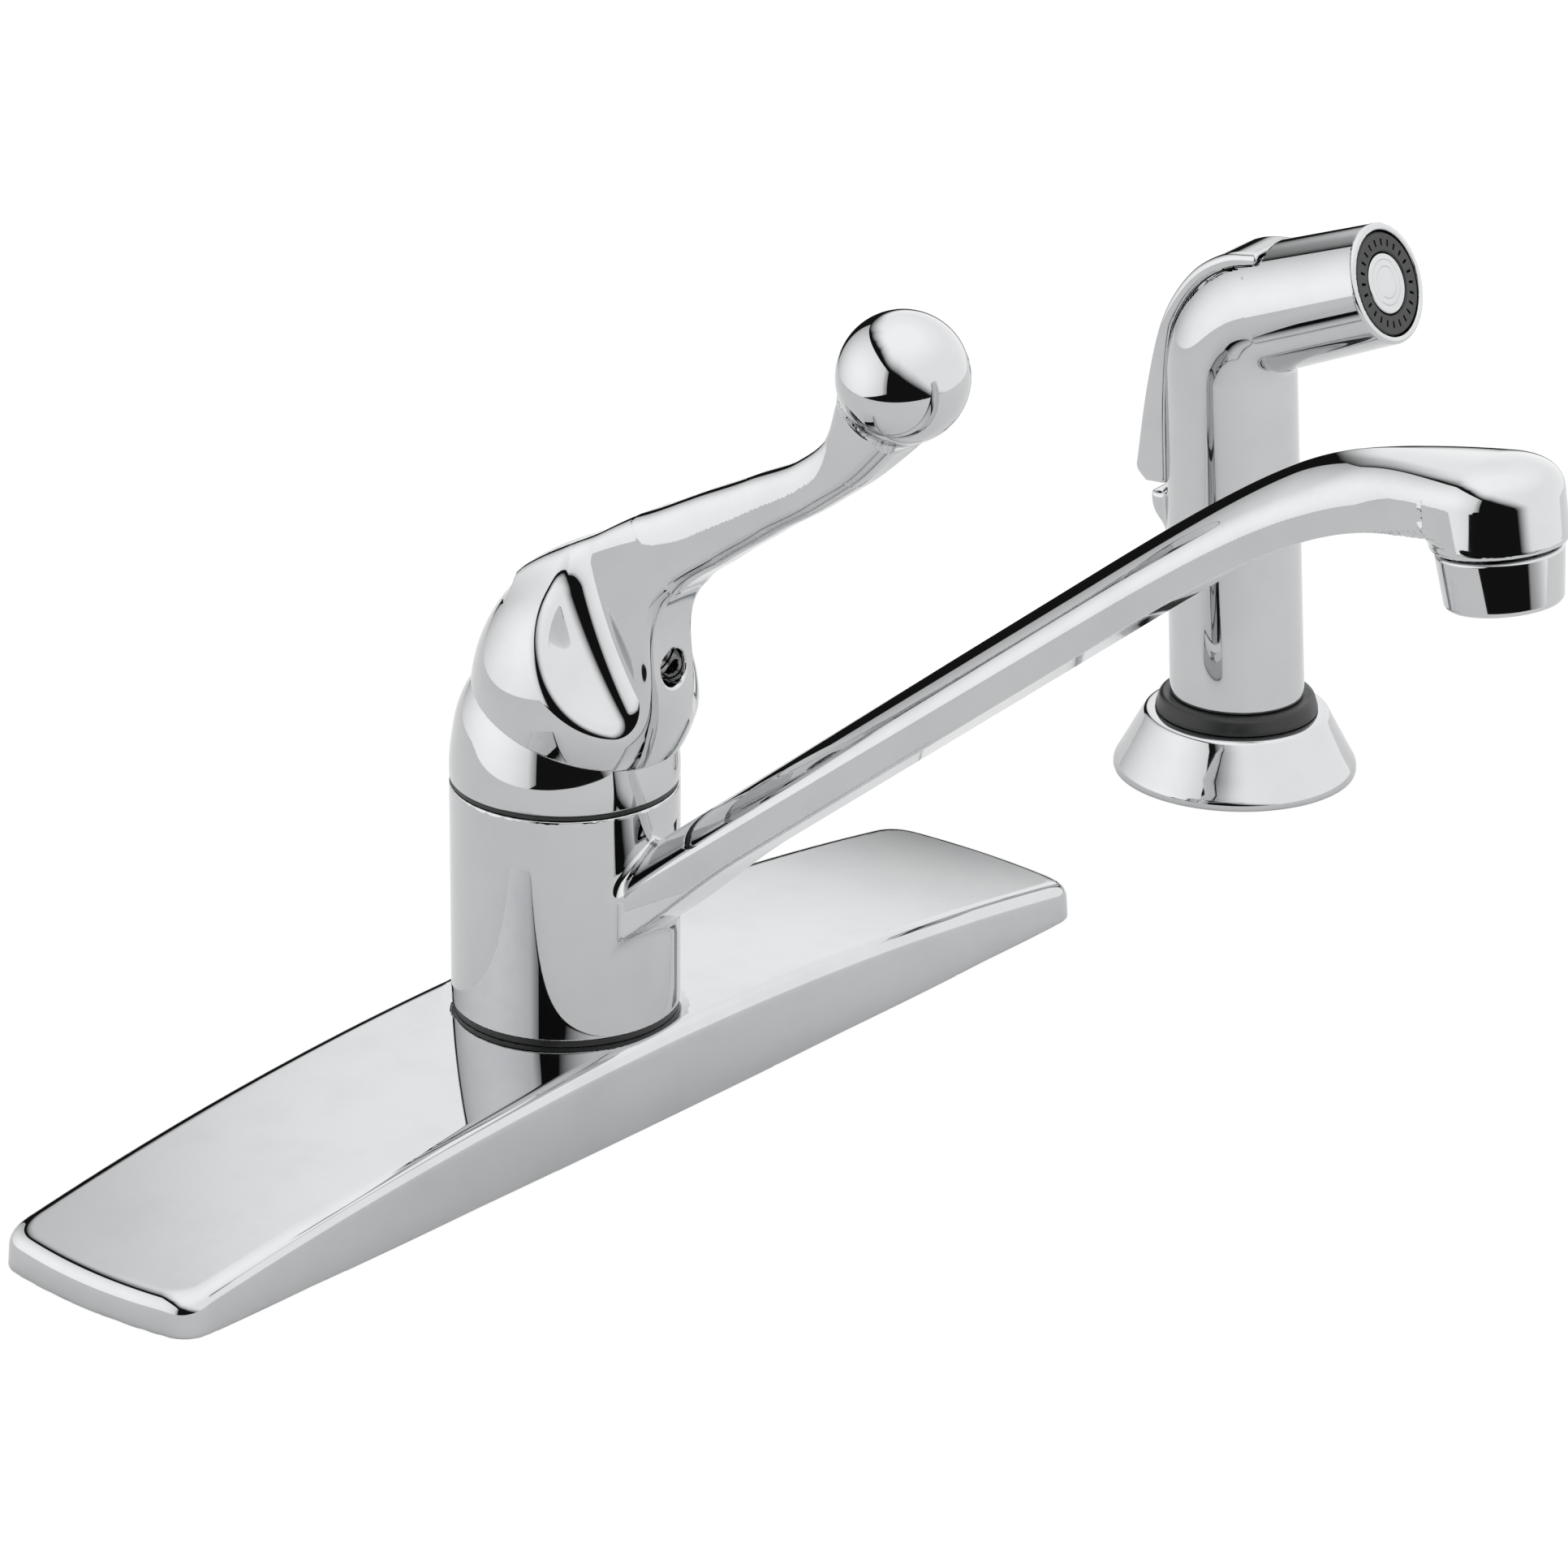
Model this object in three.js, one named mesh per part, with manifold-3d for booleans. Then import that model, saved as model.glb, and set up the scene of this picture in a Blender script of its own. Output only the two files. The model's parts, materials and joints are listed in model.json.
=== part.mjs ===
// Kitchen faucet with one lever and a side spray, on a long deck plate.
// Millimetres, +Z up. The origin is on the spout's turning axis, on the deck. The spout points along -Y and
// the spray stands along +X. All parts above the deck are here.
import * as THREE from 'three';
import { mergeVertices } from 'three/addons/utils/BufferGeometryUtils.js';
import Module from 'manifold-3d';

const wasm = await Module();
wasm.setup();

// ---------------------------------------------------------------------------------------------
// Driving dimensions (millimetres and degrees)
// ---------------------------------------------------------------------------------------------

// Clearances
const seatGap = 0.05;        // between stacked pieces that stand upright on each other
const fitGap = 0.3;          // between a piece and what it turns in, slides in or was cut for
const over = 1;              // how far a cutting solid runs past what it cuts

// Deck plate
const plateLength = 243.2;   // from corner to corner along X
const plateWidth = 46.8;     // from corner to corner along Y
const plateEndBow = 2.5;     // how far each short end bulges
const plateSideBow = 1.5;    // how far each long side bulges
const plateEndHeight = 7;
const plateCrownHeight = 16.5;
const plateWall = 2.2;
const plateCornerRadius = 4;
const plateInnerCorner = 1;  // smallest corner radius of the plate's inside
const plateEdgeRound = 2.4;
const plateDraft = 0.8;      // how far the wall leans in from the rim to the edge rounding
const seatDepth = 0.3;       // flat seat for the valve, cut into the crown
const studInset = 20;        // from the line of each corner to the stud's axis
const studBossRadius = 8;
const studHoleRadius = 4.5;
const gasketThickness = 1.5;

// Valve body
const neckRadius = 14.7;     // part of the body that passes down through the deck plate
const barrelRadius = 17.9;   // part of the body that the spout turns on
const barrelDrop = 8.5;      // top of that part, below the ball's centre
const threadRadius = 16.4;   // part of the body that the cap screws on to
const orringSection = 1.15;
const orringRadius = 16.85;  // centre line of the O-ring section
const orringPlay = 0.2;      // room around the O-ring's section in its groove
const lowerOrringHeight = 26;
const orringDepth = 5.5;     // upper O-ring below the barrel's top, and waterway below that O-ring
const waterwayBottom = 35;
const waterwayFloorRadius = 15.4;
const portRadius = 2.2;
const tubeSocketRadius = 3.6;
const tubeSocketDepth = 9;
const inletSpacing = 6;      // from the centre plane to each inlet
const inletSetback = 4;      // inlets sit this far behind the axis
const outletReach = 8.6;     // mixed water and spray port, this far in front of the axis

// Ball valve
const pivotHeight = 68.5;    // centre of the ball, where the handle lifts and turns
const ballRadius = 12.5;
const ballClearance = 0.5;   // between the ball and its cup
const cupDepthAbove = 4.5;   // height of the cup's wall above the ball's centre
const stemRadius = 3;
const stemTilt = 20;         // forward lean of the stem with the water off
const ballPortLean = 30;     // degrees that each port of the ball leans out to its side
const pinRadius = 1.2;
const pinProtrusion = 2;     // how far the pivot pin stands out of the ball at each end
const seatRadius = 3.9;
const seatBoreRadius = 1.8;
const seatHeight = 5;
const seatChamfer = 0.8;
const seatSpringLength = 4.8;
const seatPocketDrop = 22.5; // floor of the seats' pockets, below the ball's centre
const springWire = 0.7;
const springTurns = 3;

// Diverter, which sends water to the spray
const diverterBack = 4.6;    // back end of its bore, this far in front of the axis
const diverterRadius = 4.2;
const diverterFlangeRadius = 3;
const diverterStemRadius = 2;
const diverterLipRadius = 2.6;
const diverterStep = 1.8;    // length of each step along the diverter

// Glide rings, spout hub and cap
const edgeBreak = 0.5;       // small chamfer on cast and turned edges
const hubRadius = 21;
const hubDrop = 8;           // hub's top below the ball's centre
const lowerRingHeight = 1.15;
const upperRingHeight = 0.8;
const ringInset = 0.25;      // how far the dark rings lie behind the chrome
const capCylinderHeight = 6;
const domeRadius = 20.3;
const capOpeningRadius = 15;
const capWall = 2.2;
const adjusterHeight = 1.8;
const adjusterBoreRadius = 10.6;
const adjusterNotch = 2.4;   // width of the adjusting ring's notches
const adjusterNotchDepth = 0.8;
const camWall = 1.8;
const camStep = 1;           // step of the cam's hollow, where the packing sits
const packingFrom = 62;      // degrees from upright where the packing touches the ball
const packingTo = 44;

// Spout arm
const armRise = 38;          // degrees above level along the straight stretch
const armTipRise = 9;        // degrees above level where the arm meets the tip
const armRootHeight = 29.6;  // height of the arm's centre line, carried back to the hub axis
const armRootReach = 17;     // where the arm's solid starts inside the hub wall
const armFlareReach = 44;    // where the deeper root has run out
const armStraightReach = 125;
const tipReach = 200;        // from the hub axis to the middle of the tip
const tipHeight = 164;       // height of the arm's centre line in the tip
const armBendLead = 54;      // how strongly the straight stretch carries into the bend
const armBendTail = 26;      // the same at the tip
const armHeight = 11.2;      // square to the arm
const armTipHeight = 11.4;
const armRootFlare = 1.7;    // extra depth of the arm where it leaves the hub
const armHalfWidth = 8.2;
const armRidgeHalfWidth = 1.6;
const armRidgeRise = 0.45;   // extra height of the narrow ridge along the straight stretch
const armTipRidgeHalfWidth = 7.6;
const armShoulder = 4;       // height of the slope between the flat side and the ridge
const armEdgeRound = 0.9;
const armSoftening = 0.6;    // size of the small flats that soften the arm's upper edges
const armWaterRadius = 3.6;
const waterwayPoints = 10;   // corners of the waterway's section
const tipRadius = 11.3;
const tipLean = 9;           // degrees that the outlet leans away from the hub
const tipCollarLength = 14.3;
const tipCrownRound = 6.5;
const tipCrownRise = 0.5;    // how far the tip's crown stands above the arm

// Aerator
const aeratorRadius = 10.5;
const aeratorTaper = 0.8;
const aeratorLength = 9.3;
const aeratorBoreRadius = 8.1;
const aeratorThreadRadius = 9;
const aeratorThreadLength = 5;
const aeratorGroove = 0.5;
const aeratorInsertHeight = 5.4;
const aeratorInsertWall = 2;
const aeratorInsertFloor = 1.4;
const aeratorInsertSetback = 1.2; // insert's face above the shell's lower edge
const washerThickness = 1.6;
const aeratorHoleCount = 8;
const aeratorHoleRadius = 0.9;
const aeratorHoleCircle = 4;

// Handle
const hoodRadius = 20.6;
const hoodHalfLength = 26.2;
const hoodSetForward = 0.8;  // hood's axis ahead of the stem's, square to the stem
const hoodCentre = 13.7;     // from the pivot to the hood's widest place, along the stem
const hoodRim = 8.3;          // from the pivot to the open rim, along the stem
const leverHalfWidth = 7.2;  // flat sides of the lever where it leaves the hood
const leverPlaces = [[13, 29.4], [26.1, 42.5], [37, 49.5], [48, 56.2], [59, 62.9]]; // ahead, above the pivot
const neckPlaces = [[-11.4, -17.6], [-5.9, -9.8], [-1.9, -2.8]]; // the same from the knob's centre
const leverHalfHeights = [12.2, 7.5, 6.3, 5.3, 4.7, 5.6, 7, 6.6];
const leverHalfWidths = [leverHalfWidth, 6.7, 5.9, 5.2, 4.7, 5, 6.4, 6.4];
const leverLeans = [48, 36, 33, 33, 36, 42, 49, 52]; // degrees
const facetOffset = 25.9;    // side facets of the hood: distance of their plane from the pivot
const facetSlant = 21.8;     // degrees that each facet turns out to the side
const facetRise = 35.4;      // degrees that each facet's plane leans back
const stemSocketDepth = 32;
const screwHeight = 27.9;    // from the pivot to the set screw, along the stem
const screwRadius = 2.9;
const screwLength = 11;
const screwHexAcross = 3.2;
const screwHexDepth = 3;
const leverPoints = 16;      // corners of the lever's section
const knobRadius = 11.6;
const knobReach = 77.9;
const knobRise = 86.8;       // above the pivot

// Side spray
const sprayReach = 203.2;    // from the hub axis to the spray's axis
const sprayTurn = 5.5;       // degrees that the spray is turned in its holder
const flangeRadius = 24.85;
const flangeRimHeight = 1.5;
const flangeHeight = 12.9;
const flangeTopRadius = 17.3;
const flangeSlope = [[23.2, 4.3], [19.8, 10.7], [18.5, 12.3]]; // [radius, height] between rim and top
const flangeBoreRadius = 15.6;
const insertTop = 16.4;
const insertWall = 2.3;
const insertCollarRadius = 16.5;
const spigotRadius = 12.6;
const spigotBottom = 3;
const columnRadius = 13.7;
const columnTopRadius = 13.3;
const columnFoot = 2;        // extra length below the foot, so that the leaning column can be cut level
const sprayLean = 3.2;       // degrees that the column leans back from its foot
const headRadius = 12.9;
const headMouthRadius = 12.1;
const headRise = 18.3;       // above square to the column
const headHeight = 95.9;     // where the head's centre line meets the column's
const headReach = 38.6;       // from there to the mouth, along the head
const bendRadius = 16;
const sprayBoreRadius = 5;
const mouthBoreRadius = 10.6;
const mouthDepth = 9;
const nozzleThickness = 4;
const nozzleSetback = 0.3;   // nozzle's face behind the mouth's edge
const nozzleCentreThickness = 1.5;
const nozzleSlotDepth = 0.8;
const nozzleCentreRadius = 6.1;
const nozzleSlotCount = 24;
const nozzleSlotWidth = 0.7;
const nozzleSlotLength = 1.9;
const nozzleScrewRadius = 2.4;
const couplingRadius = 7.6;
const couplingBoreRadius = 4;
const couplingHeight = 8;
const couplingRimRadius = 9.2;
const couplingRimHeight = 1.8;

// Spray trigger and valve
const triggerHalfWidth = 7.4;
const triggerThickness = 2.6;
const triggerCheekWall = 1.5;
const triggerCheekDepth = 3.2;  // depth of the cheeks from the trigger's back, near its pivot
const triggerCheekFrom = 18;    // where they start to deepen, along the trigger from its pivot
const triggerCheekFlare = 0.165;
const triggerPivotAhead = 4;    // pivot, this far ahead of the column's centre line
const triggerPivotRise = 10.7;  // pivot above the place where the head's centre line meets the column's
const triggerPinRadius = 1.2;
const triggerEarHalfWidth = 3;
const triggerEarRadius = 2.4;
const triggerEarHeight = 3;     // height of the ear's web above the pivot
const lugHalfWidth = 6;         // lug on the column's back, below the trigger
const lugOutline = [[12, -56.6], [16, -52.1], [16.4, -48], [12, -48]]; // behind the column, above the pivot
const triggerOutline = [        // trigger's back, from its pivot end down: behind the column, above the pivot
  [-10.8, 5.6], [-3.7, 4.6], [3.1, 1.1], [8.4, -4.6], [12.4, -12.1], [15.9, -25.5], [18.9, -43],
];
const triggerTravel = 4;        // degrees
const triggerEndPlay = 1.2;     // room below the trigger's lower end
const valveDrop = 30.6;         // valve's axis below the trigger's pivot
const valveStemRadius = 2;
const valveHeadRadius = 4.4;
const valveHeadThickness = 1.8;
const valveRoom = 4.8;          // room ahead of the centre line for the valve's head
const valveSeatPlace = 2.5;     // valve's seat in the body, this far behind the centre line
const valveCollarRadius = 3.6;
const valveCollarThickness = 1.2;
const valvePocketRadius = 4.6;
const valvePocketFloor = 5.5;   // pocket of the valve's spring, this far behind the centre line
const valveReach = 13.6;        // outer end of the valve's stem
const valveSpringLength = 3.6;

// Roundness
const fine = 36;
const medium = 24;
const coarse = 14;

// ---------------------------------------------------------------------------------------------
// Finishes
// ---------------------------------------------------------------------------------------------

const finishes = {
  chrome: { color: 0xd6d8da, roughness: 0.05, metalness: 1 },
  brass: { color: 0xc8a45a, roughness: 0.3, metalness: 1 },
  steel: { color: 0xb8b6b0, roughness: 0.25, metalness: 1 },
  rubber: { color: 0x1c1c1d, roughness: 0.8, metalness: 0 },
  blackPlastic: { color: 0x2b2c2d, roughness: 0.5, metalness: 0 },
  whitePlastic: { color: 0xe4e2dc, roughness: 0.45, metalness: 0 },
};

// ---------------------------------------------------------------------------------------------
// Helpers
// ---------------------------------------------------------------------------------------------

const radians = (degrees) => degrees * Math.PI / 180;

/** Makes a closed solid from a three.js geometry, whichever way its faces point. */
function solid(geometry) {
  const plain = geometry.clone();
  plain.deleteAttribute('normal');
  plain.deleteAttribute('uv');
  const merged = mergeVertices(plain, 1e-4);
  const position = merged.getAttribute('position');
  const vertProperties = new Float32Array(position.array);
  const triVerts = withoutSlivers(new Uint32Array(merged.index.array));
  if (signedVolume(vertProperties, triVerts) < 0) flip(triVerts);
  return new wasm.Manifold(new wasm.Mesh({ numProp: 3, vertProperties, triVerts }));
}

/** Drops triangles that use one corner twice, as at the tip of a turned shape. */
function withoutSlivers(indices) {
  const kept = [];
  for (let i = 0; i < indices.length; i += 3) {
    const [a, b, c] = [indices[i], indices[i + 1], indices[i + 2]];
    if (a !== b && b !== c && c !== a) kept.push(a, b, c);
  }
  return new Uint32Array(kept);
}

function signedVolume(points, indices) {
  const corner = (i) => new THREE.Vector3().fromArray(points, 3 * indices[i]);
  let sum = 0;
  for (let i = 0; i < indices.length; i += 3) {
    sum += corner(i).dot(corner(i + 1).cross(corner(i + 2)));
  }
  return sum / 6;
}

function flip(indices) {
  for (let i = 0; i < indices.length; i += 3) {
    [indices[i], indices[i + 1]] = [indices[i + 1], indices[i]];
  }
}

const cut = (body, ...tools) => tools.reduce((rest, tool) => rest.subtract(tool), body);
const join = (body, ...others) => others.reduce((sum, other) => sum.add(other), body);

/** Moves a solid by a three.js matrix. */
function moved(body, matrix) {
  return body.transform(matrix.toArray());
}

const shifted = (body, x, y, z) => moved(body, new THREE.Matrix4().makeTranslation(x, y, z));
const turnedAboutX = (body, degrees) => moved(body, new THREE.Matrix4().makeRotationX(radians(degrees)));
const turnedAboutY = (body, degrees) => moved(body, new THREE.Matrix4().makeRotationY(radians(degrees)));
const turnedAboutZ = (body, degrees) => moved(body, new THREE.Matrix4().makeRotationZ(radians(degrees)));

/** Named mesh of a solid in one finish. */
function piece(name, body, finish) {
  const mesh = body.getMesh();
  const geometry = new THREE.BufferGeometry();
  geometry.setAttribute('position', new THREE.BufferAttribute(new Float32Array(mesh.vertProperties), 3));
  geometry.setIndex(new THREE.BufferAttribute(new Uint32Array(mesh.triVerts), 1));
  geometry.computeVertexNormals();
  const result = new THREE.Mesh(geometry, new THREE.MeshStandardMaterial(finish));
  result.name = name;
  return result;
}

/** Solid turned about Z from a profile of [radius, height] points that closes on itself or on the axis. */
function turned(profile, segments = fine) {
  const points = profile.map(([radius, height]) => new THREE.Vector2(radius, height));
  const touchesAxis = profile[0][0] === 0 && profile[profile.length - 1][0] === 0;
  if (!touchesAxis) points.push(points[0].clone());
  return turnedAboutX(solid(new THREE.LatheGeometry(points, segments)), 90);
}

/** Upright cylinder between two heights. */
function cylinder(radius, bottom, top, segments = medium) {
  return turned([[0, bottom], [radius, bottom], [radius, top], [0, top]], segments);
}

/** Upright ring between two heights. */
function ring(inner, outer, bottom, top, segments = fine) {
  return turned([[inner, bottom], [outer, bottom], [outer, top], [inner, top]], segments);
}

function box(low, high) {
  const size = high.map((value, i) => value - low[i]);
  const middle = high.map((value, i) => (value + low[i]) / 2);
  return shifted(solid(new THREE.BoxGeometry(...size)), ...middle);
}

function ball(radius, segments = medium) {
  return solid(new THREE.SphereGeometry(radius, segments, segments / 2));
}

/** Points of an arc about a centre, from one polar angle to another, measured in degrees from the axis. */
function arc(radius, centreHeight, from, to, steps) {
  const points = [];
  for (let i = 0; i <= steps; i++) {
    const angle = radians(from + (to - from) * i / steps);
    points.push([radius * Math.sin(angle), centreHeight + radius * Math.cos(angle)]);
  }
  return points;
}

/** Solid through a row of rings of equal point counts. Each end is closed by strips across the ring. */
function loft(rings) {
  const count = rings[0].length;
  const positions = rings.flat().flatMap((point) => point.toArray());
  const indices = [];
  for (let r = 0; r + 1 < rings.length; r++) {
    for (let i = 0; i < count; i++) {
      const next = (i + 1) % count;
      const [a, b, c, d] = [r * count + i, r * count + next, (r + 1) * count + next, (r + 1) * count + i];
      indices.push(a, b, c, a, c, d);
    }
  }
  const last = (rings.length - 1) * count;
  for (let low = 0, high = count - 1; low + 1 < high; low++, high--) {
    indices.push(low, high, low + 1);
    indices.push(last + low, last + low + 1, last + high);
    if (low + 2 < high) {
      indices.push(low + 1, high, high - 1);
      indices.push(last + low + 1, last + high - 1, last + high);
    }
  }
  const geometry = new THREE.BufferGeometry();
  geometry.setAttribute('position', new THREE.Float32BufferAttribute(positions, 3));
  geometry.setIndex(indices);
  return solid(geometry);
}

/** Flat outline in the side plane, given as [forward, up] points, made into a slab about X = 0. */
function sideSlab(outline, halfWidth) {
  const shape = new THREE.Shape(outline.map(([forward, up]) => new THREE.Vector2(forward, up)));
  const slab = solid(new THREE.ExtrudeGeometry(shape, { depth: 2 * halfWidth, bevelEnabled: false }));
  // The shape's x becomes -Y, its y becomes Z, and its depth becomes X.
  const axes = new THREE.Matrix4().makeBasis(
    new THREE.Vector3(0, -1, 0), new THREE.Vector3(0, 0, 1), new THREE.Vector3(-1, 0, 0));
  return shifted(moved(slab, axes), halfWidth, 0, 0);
}

/** Round bar from one point to another. */
function bar(radius, from, to, segments = coarse) {
  const start = new THREE.Vector3(...from);
  const along = new THREE.Vector3(...to).sub(start);
  const upright = cylinder(radius, 0, along.length(), segments);
  const turn = new THREE.Quaternion().setFromUnitVectors(new THREE.Vector3(0, 0, 1), along.normalize());
  return moved(upright, new THREE.Matrix4().compose(start, turn, new THREE.Vector3(1, 1, 1)));
}

/** Coil of round wire about Z, between two heights. */
class Helix extends THREE.Curve {
  constructor(radius, bottom, top, turns) {
    super();
    Object.assign(this, { radius, bottom, top, turns });
  }

  getPoint(t, target = new THREE.Vector3()) {
    const angle = 2 * Math.PI * this.turns * t;
    const height = this.bottom + (this.top - this.bottom) * t;
    return target.set(this.radius * Math.cos(angle), this.radius * Math.sin(angle), height);
  }
}

function coil(radius, wire, bottom, top, turns) {
  const section = new THREE.Shape();
  section.absarc(0, 0, wire / 2, 0, 2 * Math.PI);
  const path = new Helix(radius, bottom + wire / 2, top - wire / 2, turns);
  const wound = new THREE.ExtrudeGeometry(section, { steps: 8 * turns, extrudePath: path, curveSegments: 3 });
  return solid(wound);
}

/** Rubber ring of round section. */
const roundRing = (radius, section, height) =>
  shifted(solid(new THREE.TorusGeometry(radius, section, 6, medium)), 0, 0, height);

// ---------------------------------------------------------------------------------------------
// Deck plate and gasket
// ---------------------------------------------------------------------------------------------

const crownAt = (x) => {
  const share = 2 * x / plateLength;
  return plateEndHeight + (plateCrownHeight - plateEndHeight) * (1 - share * share);
};
const plateSeatHeight = plateCrownHeight - seatDepth;
const studReach = plateLength / 2 - studInset;

/** Plan outline of the plate, moved in by inset. Heights come from a function of x. */
function plateRing(inset, heightAt) {
  const halfLength = plateLength / 2 - inset;
  const halfWidth = plateWidth / 2 - inset;
  const corner = Math.max(plateCornerRadius - inset, plateInnerCorner);
  const sideSteps = 6;
  const endAt = (y) => halfLength + plateEndBow * (1 - (y / halfWidth) ** 2);
  const sideAt = (x) => halfWidth + plateSideBow * (1 - (x / halfLength) ** 2);
  const quarter = [];
  for (let i = 0; i <= 3; i++) {
    const y = (halfWidth - corner) * i / 3;
    quarter.push([endAt(y), y]);
  }
  const [startX, startY] = quarter[quarter.length - 1];
  const [endX, endY] = [halfLength - corner, sideAt(halfLength - corner)];
  for (const t of [0.25, 0.5, 0.75]) {
    const [u, v, w] = [(1 - t) ** 2, 2 * t * (1 - t), t * t];
    quarter.push([u * startX + v * halfLength + w * endX, u * startY + v * halfWidth + w * endY]);
  }
  for (let i = 0; i <= sideSteps; i++) {
    const x = endX * (1 - i / sideSteps);
    quarter.push([x, sideAt(x)]);
  }
  const back = quarter.slice(0, -1).map(([x, y]) => [-x, y]).reverse();
  const half = [...quarter, ...back];
  const front = half.slice(1, -1).map(([x, y]) => [x, -y]).reverse();
  return [...half, ...front].map(([x, y]) => new THREE.Vector3(x, y, heightAt(x)));
}

function deckPlate() {
  const rings = [plateRing(0, () => 0), plateRing(plateDraft, (x) => crownAt(x) - plateEdgeRound)];
  for (const angle of [45, 90]) {
    const inset = plateDraft + plateEdgeRound * (1 - Math.cos(radians(angle)));
    const drop = plateEdgeRound * (1 - Math.sin(radians(angle)));
    rings.push(plateRing(inset, (x) => crownAt(x) - drop));
  }
  const hollow = loft([
    plateRing(plateWall, () => -over),
    plateRing(plateWall, () => gasketThickness),
    plateRing(plateWall + plateDraft, (x) => crownAt(x) - plateWall),
  ]);
  const neckCollar = cylinder(barrelRadius + plateWall, gasketThickness + seatGap, plateCrownHeight, fine);
  const bosses = [-studReach, studReach].map(
    (x) => shifted(cylinder(studBossRadius, -2 * over, plateCrownHeight), x, 0, 0));
  const studHoles = [-studReach, studReach].map(
    (x) => shifted(cylinder(studHoleRadius, -over, crownAt(studReach) - 2 * plateWall), x, 0, 0));
  const floor = box([-plateLength, -plateWidth, -3 * over], [plateLength, plateWidth, 0]);
  const seat = cylinder(hubRadius + fitGap, plateSeatHeight, plateCrownHeight + over, fine);
  const neckHole = cylinder(neckRadius + fitGap, -over, plateCrownHeight + over, fine);
  const shell = cut(loft(rings), cut(hollow, neckCollar, ...bosses));
  return cut(shell, floor, seat, neckHole, ...studHoles);
}

function deckGasket() {
  const sheet = loft([
    plateRing(plateWall + fitGap, () => 0),
    plateRing(plateWall + fitGap, () => gasketThickness - seatGap),
  ]);
  const holes = [-studReach, studReach].map(
    (x) => shifted(cylinder(studBossRadius + fitGap, -over, gasketThickness + over), x, 0, 0));
  return cut(sheet, cylinder(neckRadius + fitGap, -over, gasketThickness + over, fine), ...holes);
}

const deck = new THREE.Group();
deck.add(
  piece('deck_plate', deckPlate(), finishes.chrome),
  piece('deck_gasket', deckGasket(), finishes.rubber),
);

// ---------------------------------------------------------------------------------------------
// Valve body, rings, seats, diverter
// ---------------------------------------------------------------------------------------------

const shoulderHeight = plateSeatHeight + seatGap;
const hubBottom = shoulderHeight + lowerRingHeight + 2 * seatGap;
const hubTop = pivotHeight - hubDrop;
const capBottom = hubTop + upperRingHeight + 2 * seatGap;
const cupBoreRadius = ballRadius + ballClearance;
const cupTop = pivotHeight + cupDepthAbove;
const barrelTop = pivotHeight - barrelDrop;
const upperOrringHeight = barrelTop - orringDepth;
const waterwayTop = upperOrringHeight - orringDepth;
const seatPocketBottom = pivotHeight - seatPocketDrop;
const pinGrooveRadius = ballRadius + pinProtrusion + fitGap;
const pinGrooveHalfHeight = pinRadius + fitGap;
const seatTop = seatPocketBottom + seatSpringLength + seatHeight;
const seatPlaces = [-inletSpacing, inletSpacing];
const diverterHeight = (waterwayBottom + waterwayTop) / 2;

/** Groove cut around the valve's barrel. */
function barrelGroove(floorRadius, bottom, top) {
  return ring(floorRadius, barrelRadius + over, bottom, top, medium);
}

function valveBody() {
  const blank = turned([
    [0, 0], [neckRadius, 0], [neckRadius, shoulderHeight], [barrelRadius, shoulderHeight],
    [barrelRadius, barrelTop], [threadRadius, barrelTop], [threadRadius, cupTop], [0, cupTop],
  ], medium);
  const grooveHalf = orringSection + orringPlay;
  const grooveFloor = orringRadius - grooveHalf;
  const grooves = [lowerOrringHeight, upperOrringHeight].map(
    (height) => barrelGroove(grooveFloor, height - grooveHalf, height + grooveHalf));
  const waterway = barrelGroove(waterwayFloorRadius, waterwayBottom, waterwayTop);
  const cup = join(
    cylinder(cupBoreRadius, pivotHeight, cupTop + over),
    shifted(ball(cupBoreRadius), 0, 0, pivotHeight),
    ring(cupBoreRadius - over, pinGrooveRadius,
      pivotHeight - pinGrooveHalfHeight, pivotHeight + pinGrooveHalfHeight, medium),
  );
  const inlets = seatPlaces.flatMap((x) => [
    shifted(cylinder(seatRadius + fitGap, seatPocketBottom, pivotHeight, coarse), x, inletSetback, 0),
    shifted(cylinder(portRadius, -over, seatPocketBottom + over, coarse), x, inletSetback, 0),
    shifted(cylinder(tubeSocketRadius, -over, tubeSocketDepth, coarse), x, inletSetback, 0),
  ]);
  const outlets = [
    shifted(cylinder(portRadius, -over, pivotHeight - ballRadius + portRadius, coarse), 0, -outletReach, 0),
    shifted(cylinder(tubeSocketRadius, -over, tubeSocketDepth, coarse), 0, -outletReach, 0),
    bar(diverterRadius + fitGap,
      [0, -diverterBack, diverterHeight], [0, -barrelRadius - over, diverterHeight]),
  ];
  return cut(blank, ...grooves, waterway, cup, ...inlets, ...outlets);
}

function seat(x) {
  const body = turned([
    [seatBoreRadius, 0], [seatRadius, 0], [seatRadius, seatHeight - seatChamfer],
    [seatRadius - seatChamfer, seatHeight], [seatBoreRadius, seatHeight],
  ], coarse);
  return shifted(body, x, inletSetback, seatTop - seatHeight);
}

function seatSpring(x) {
  const top = seatTop - seatHeight - seatGap;
  const wound = coil(seatRadius - springWire, springWire, seatPocketBottom + seatGap, top, springTurns);
  return shifted(wound, x, inletSetback, 0);
}

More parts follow.
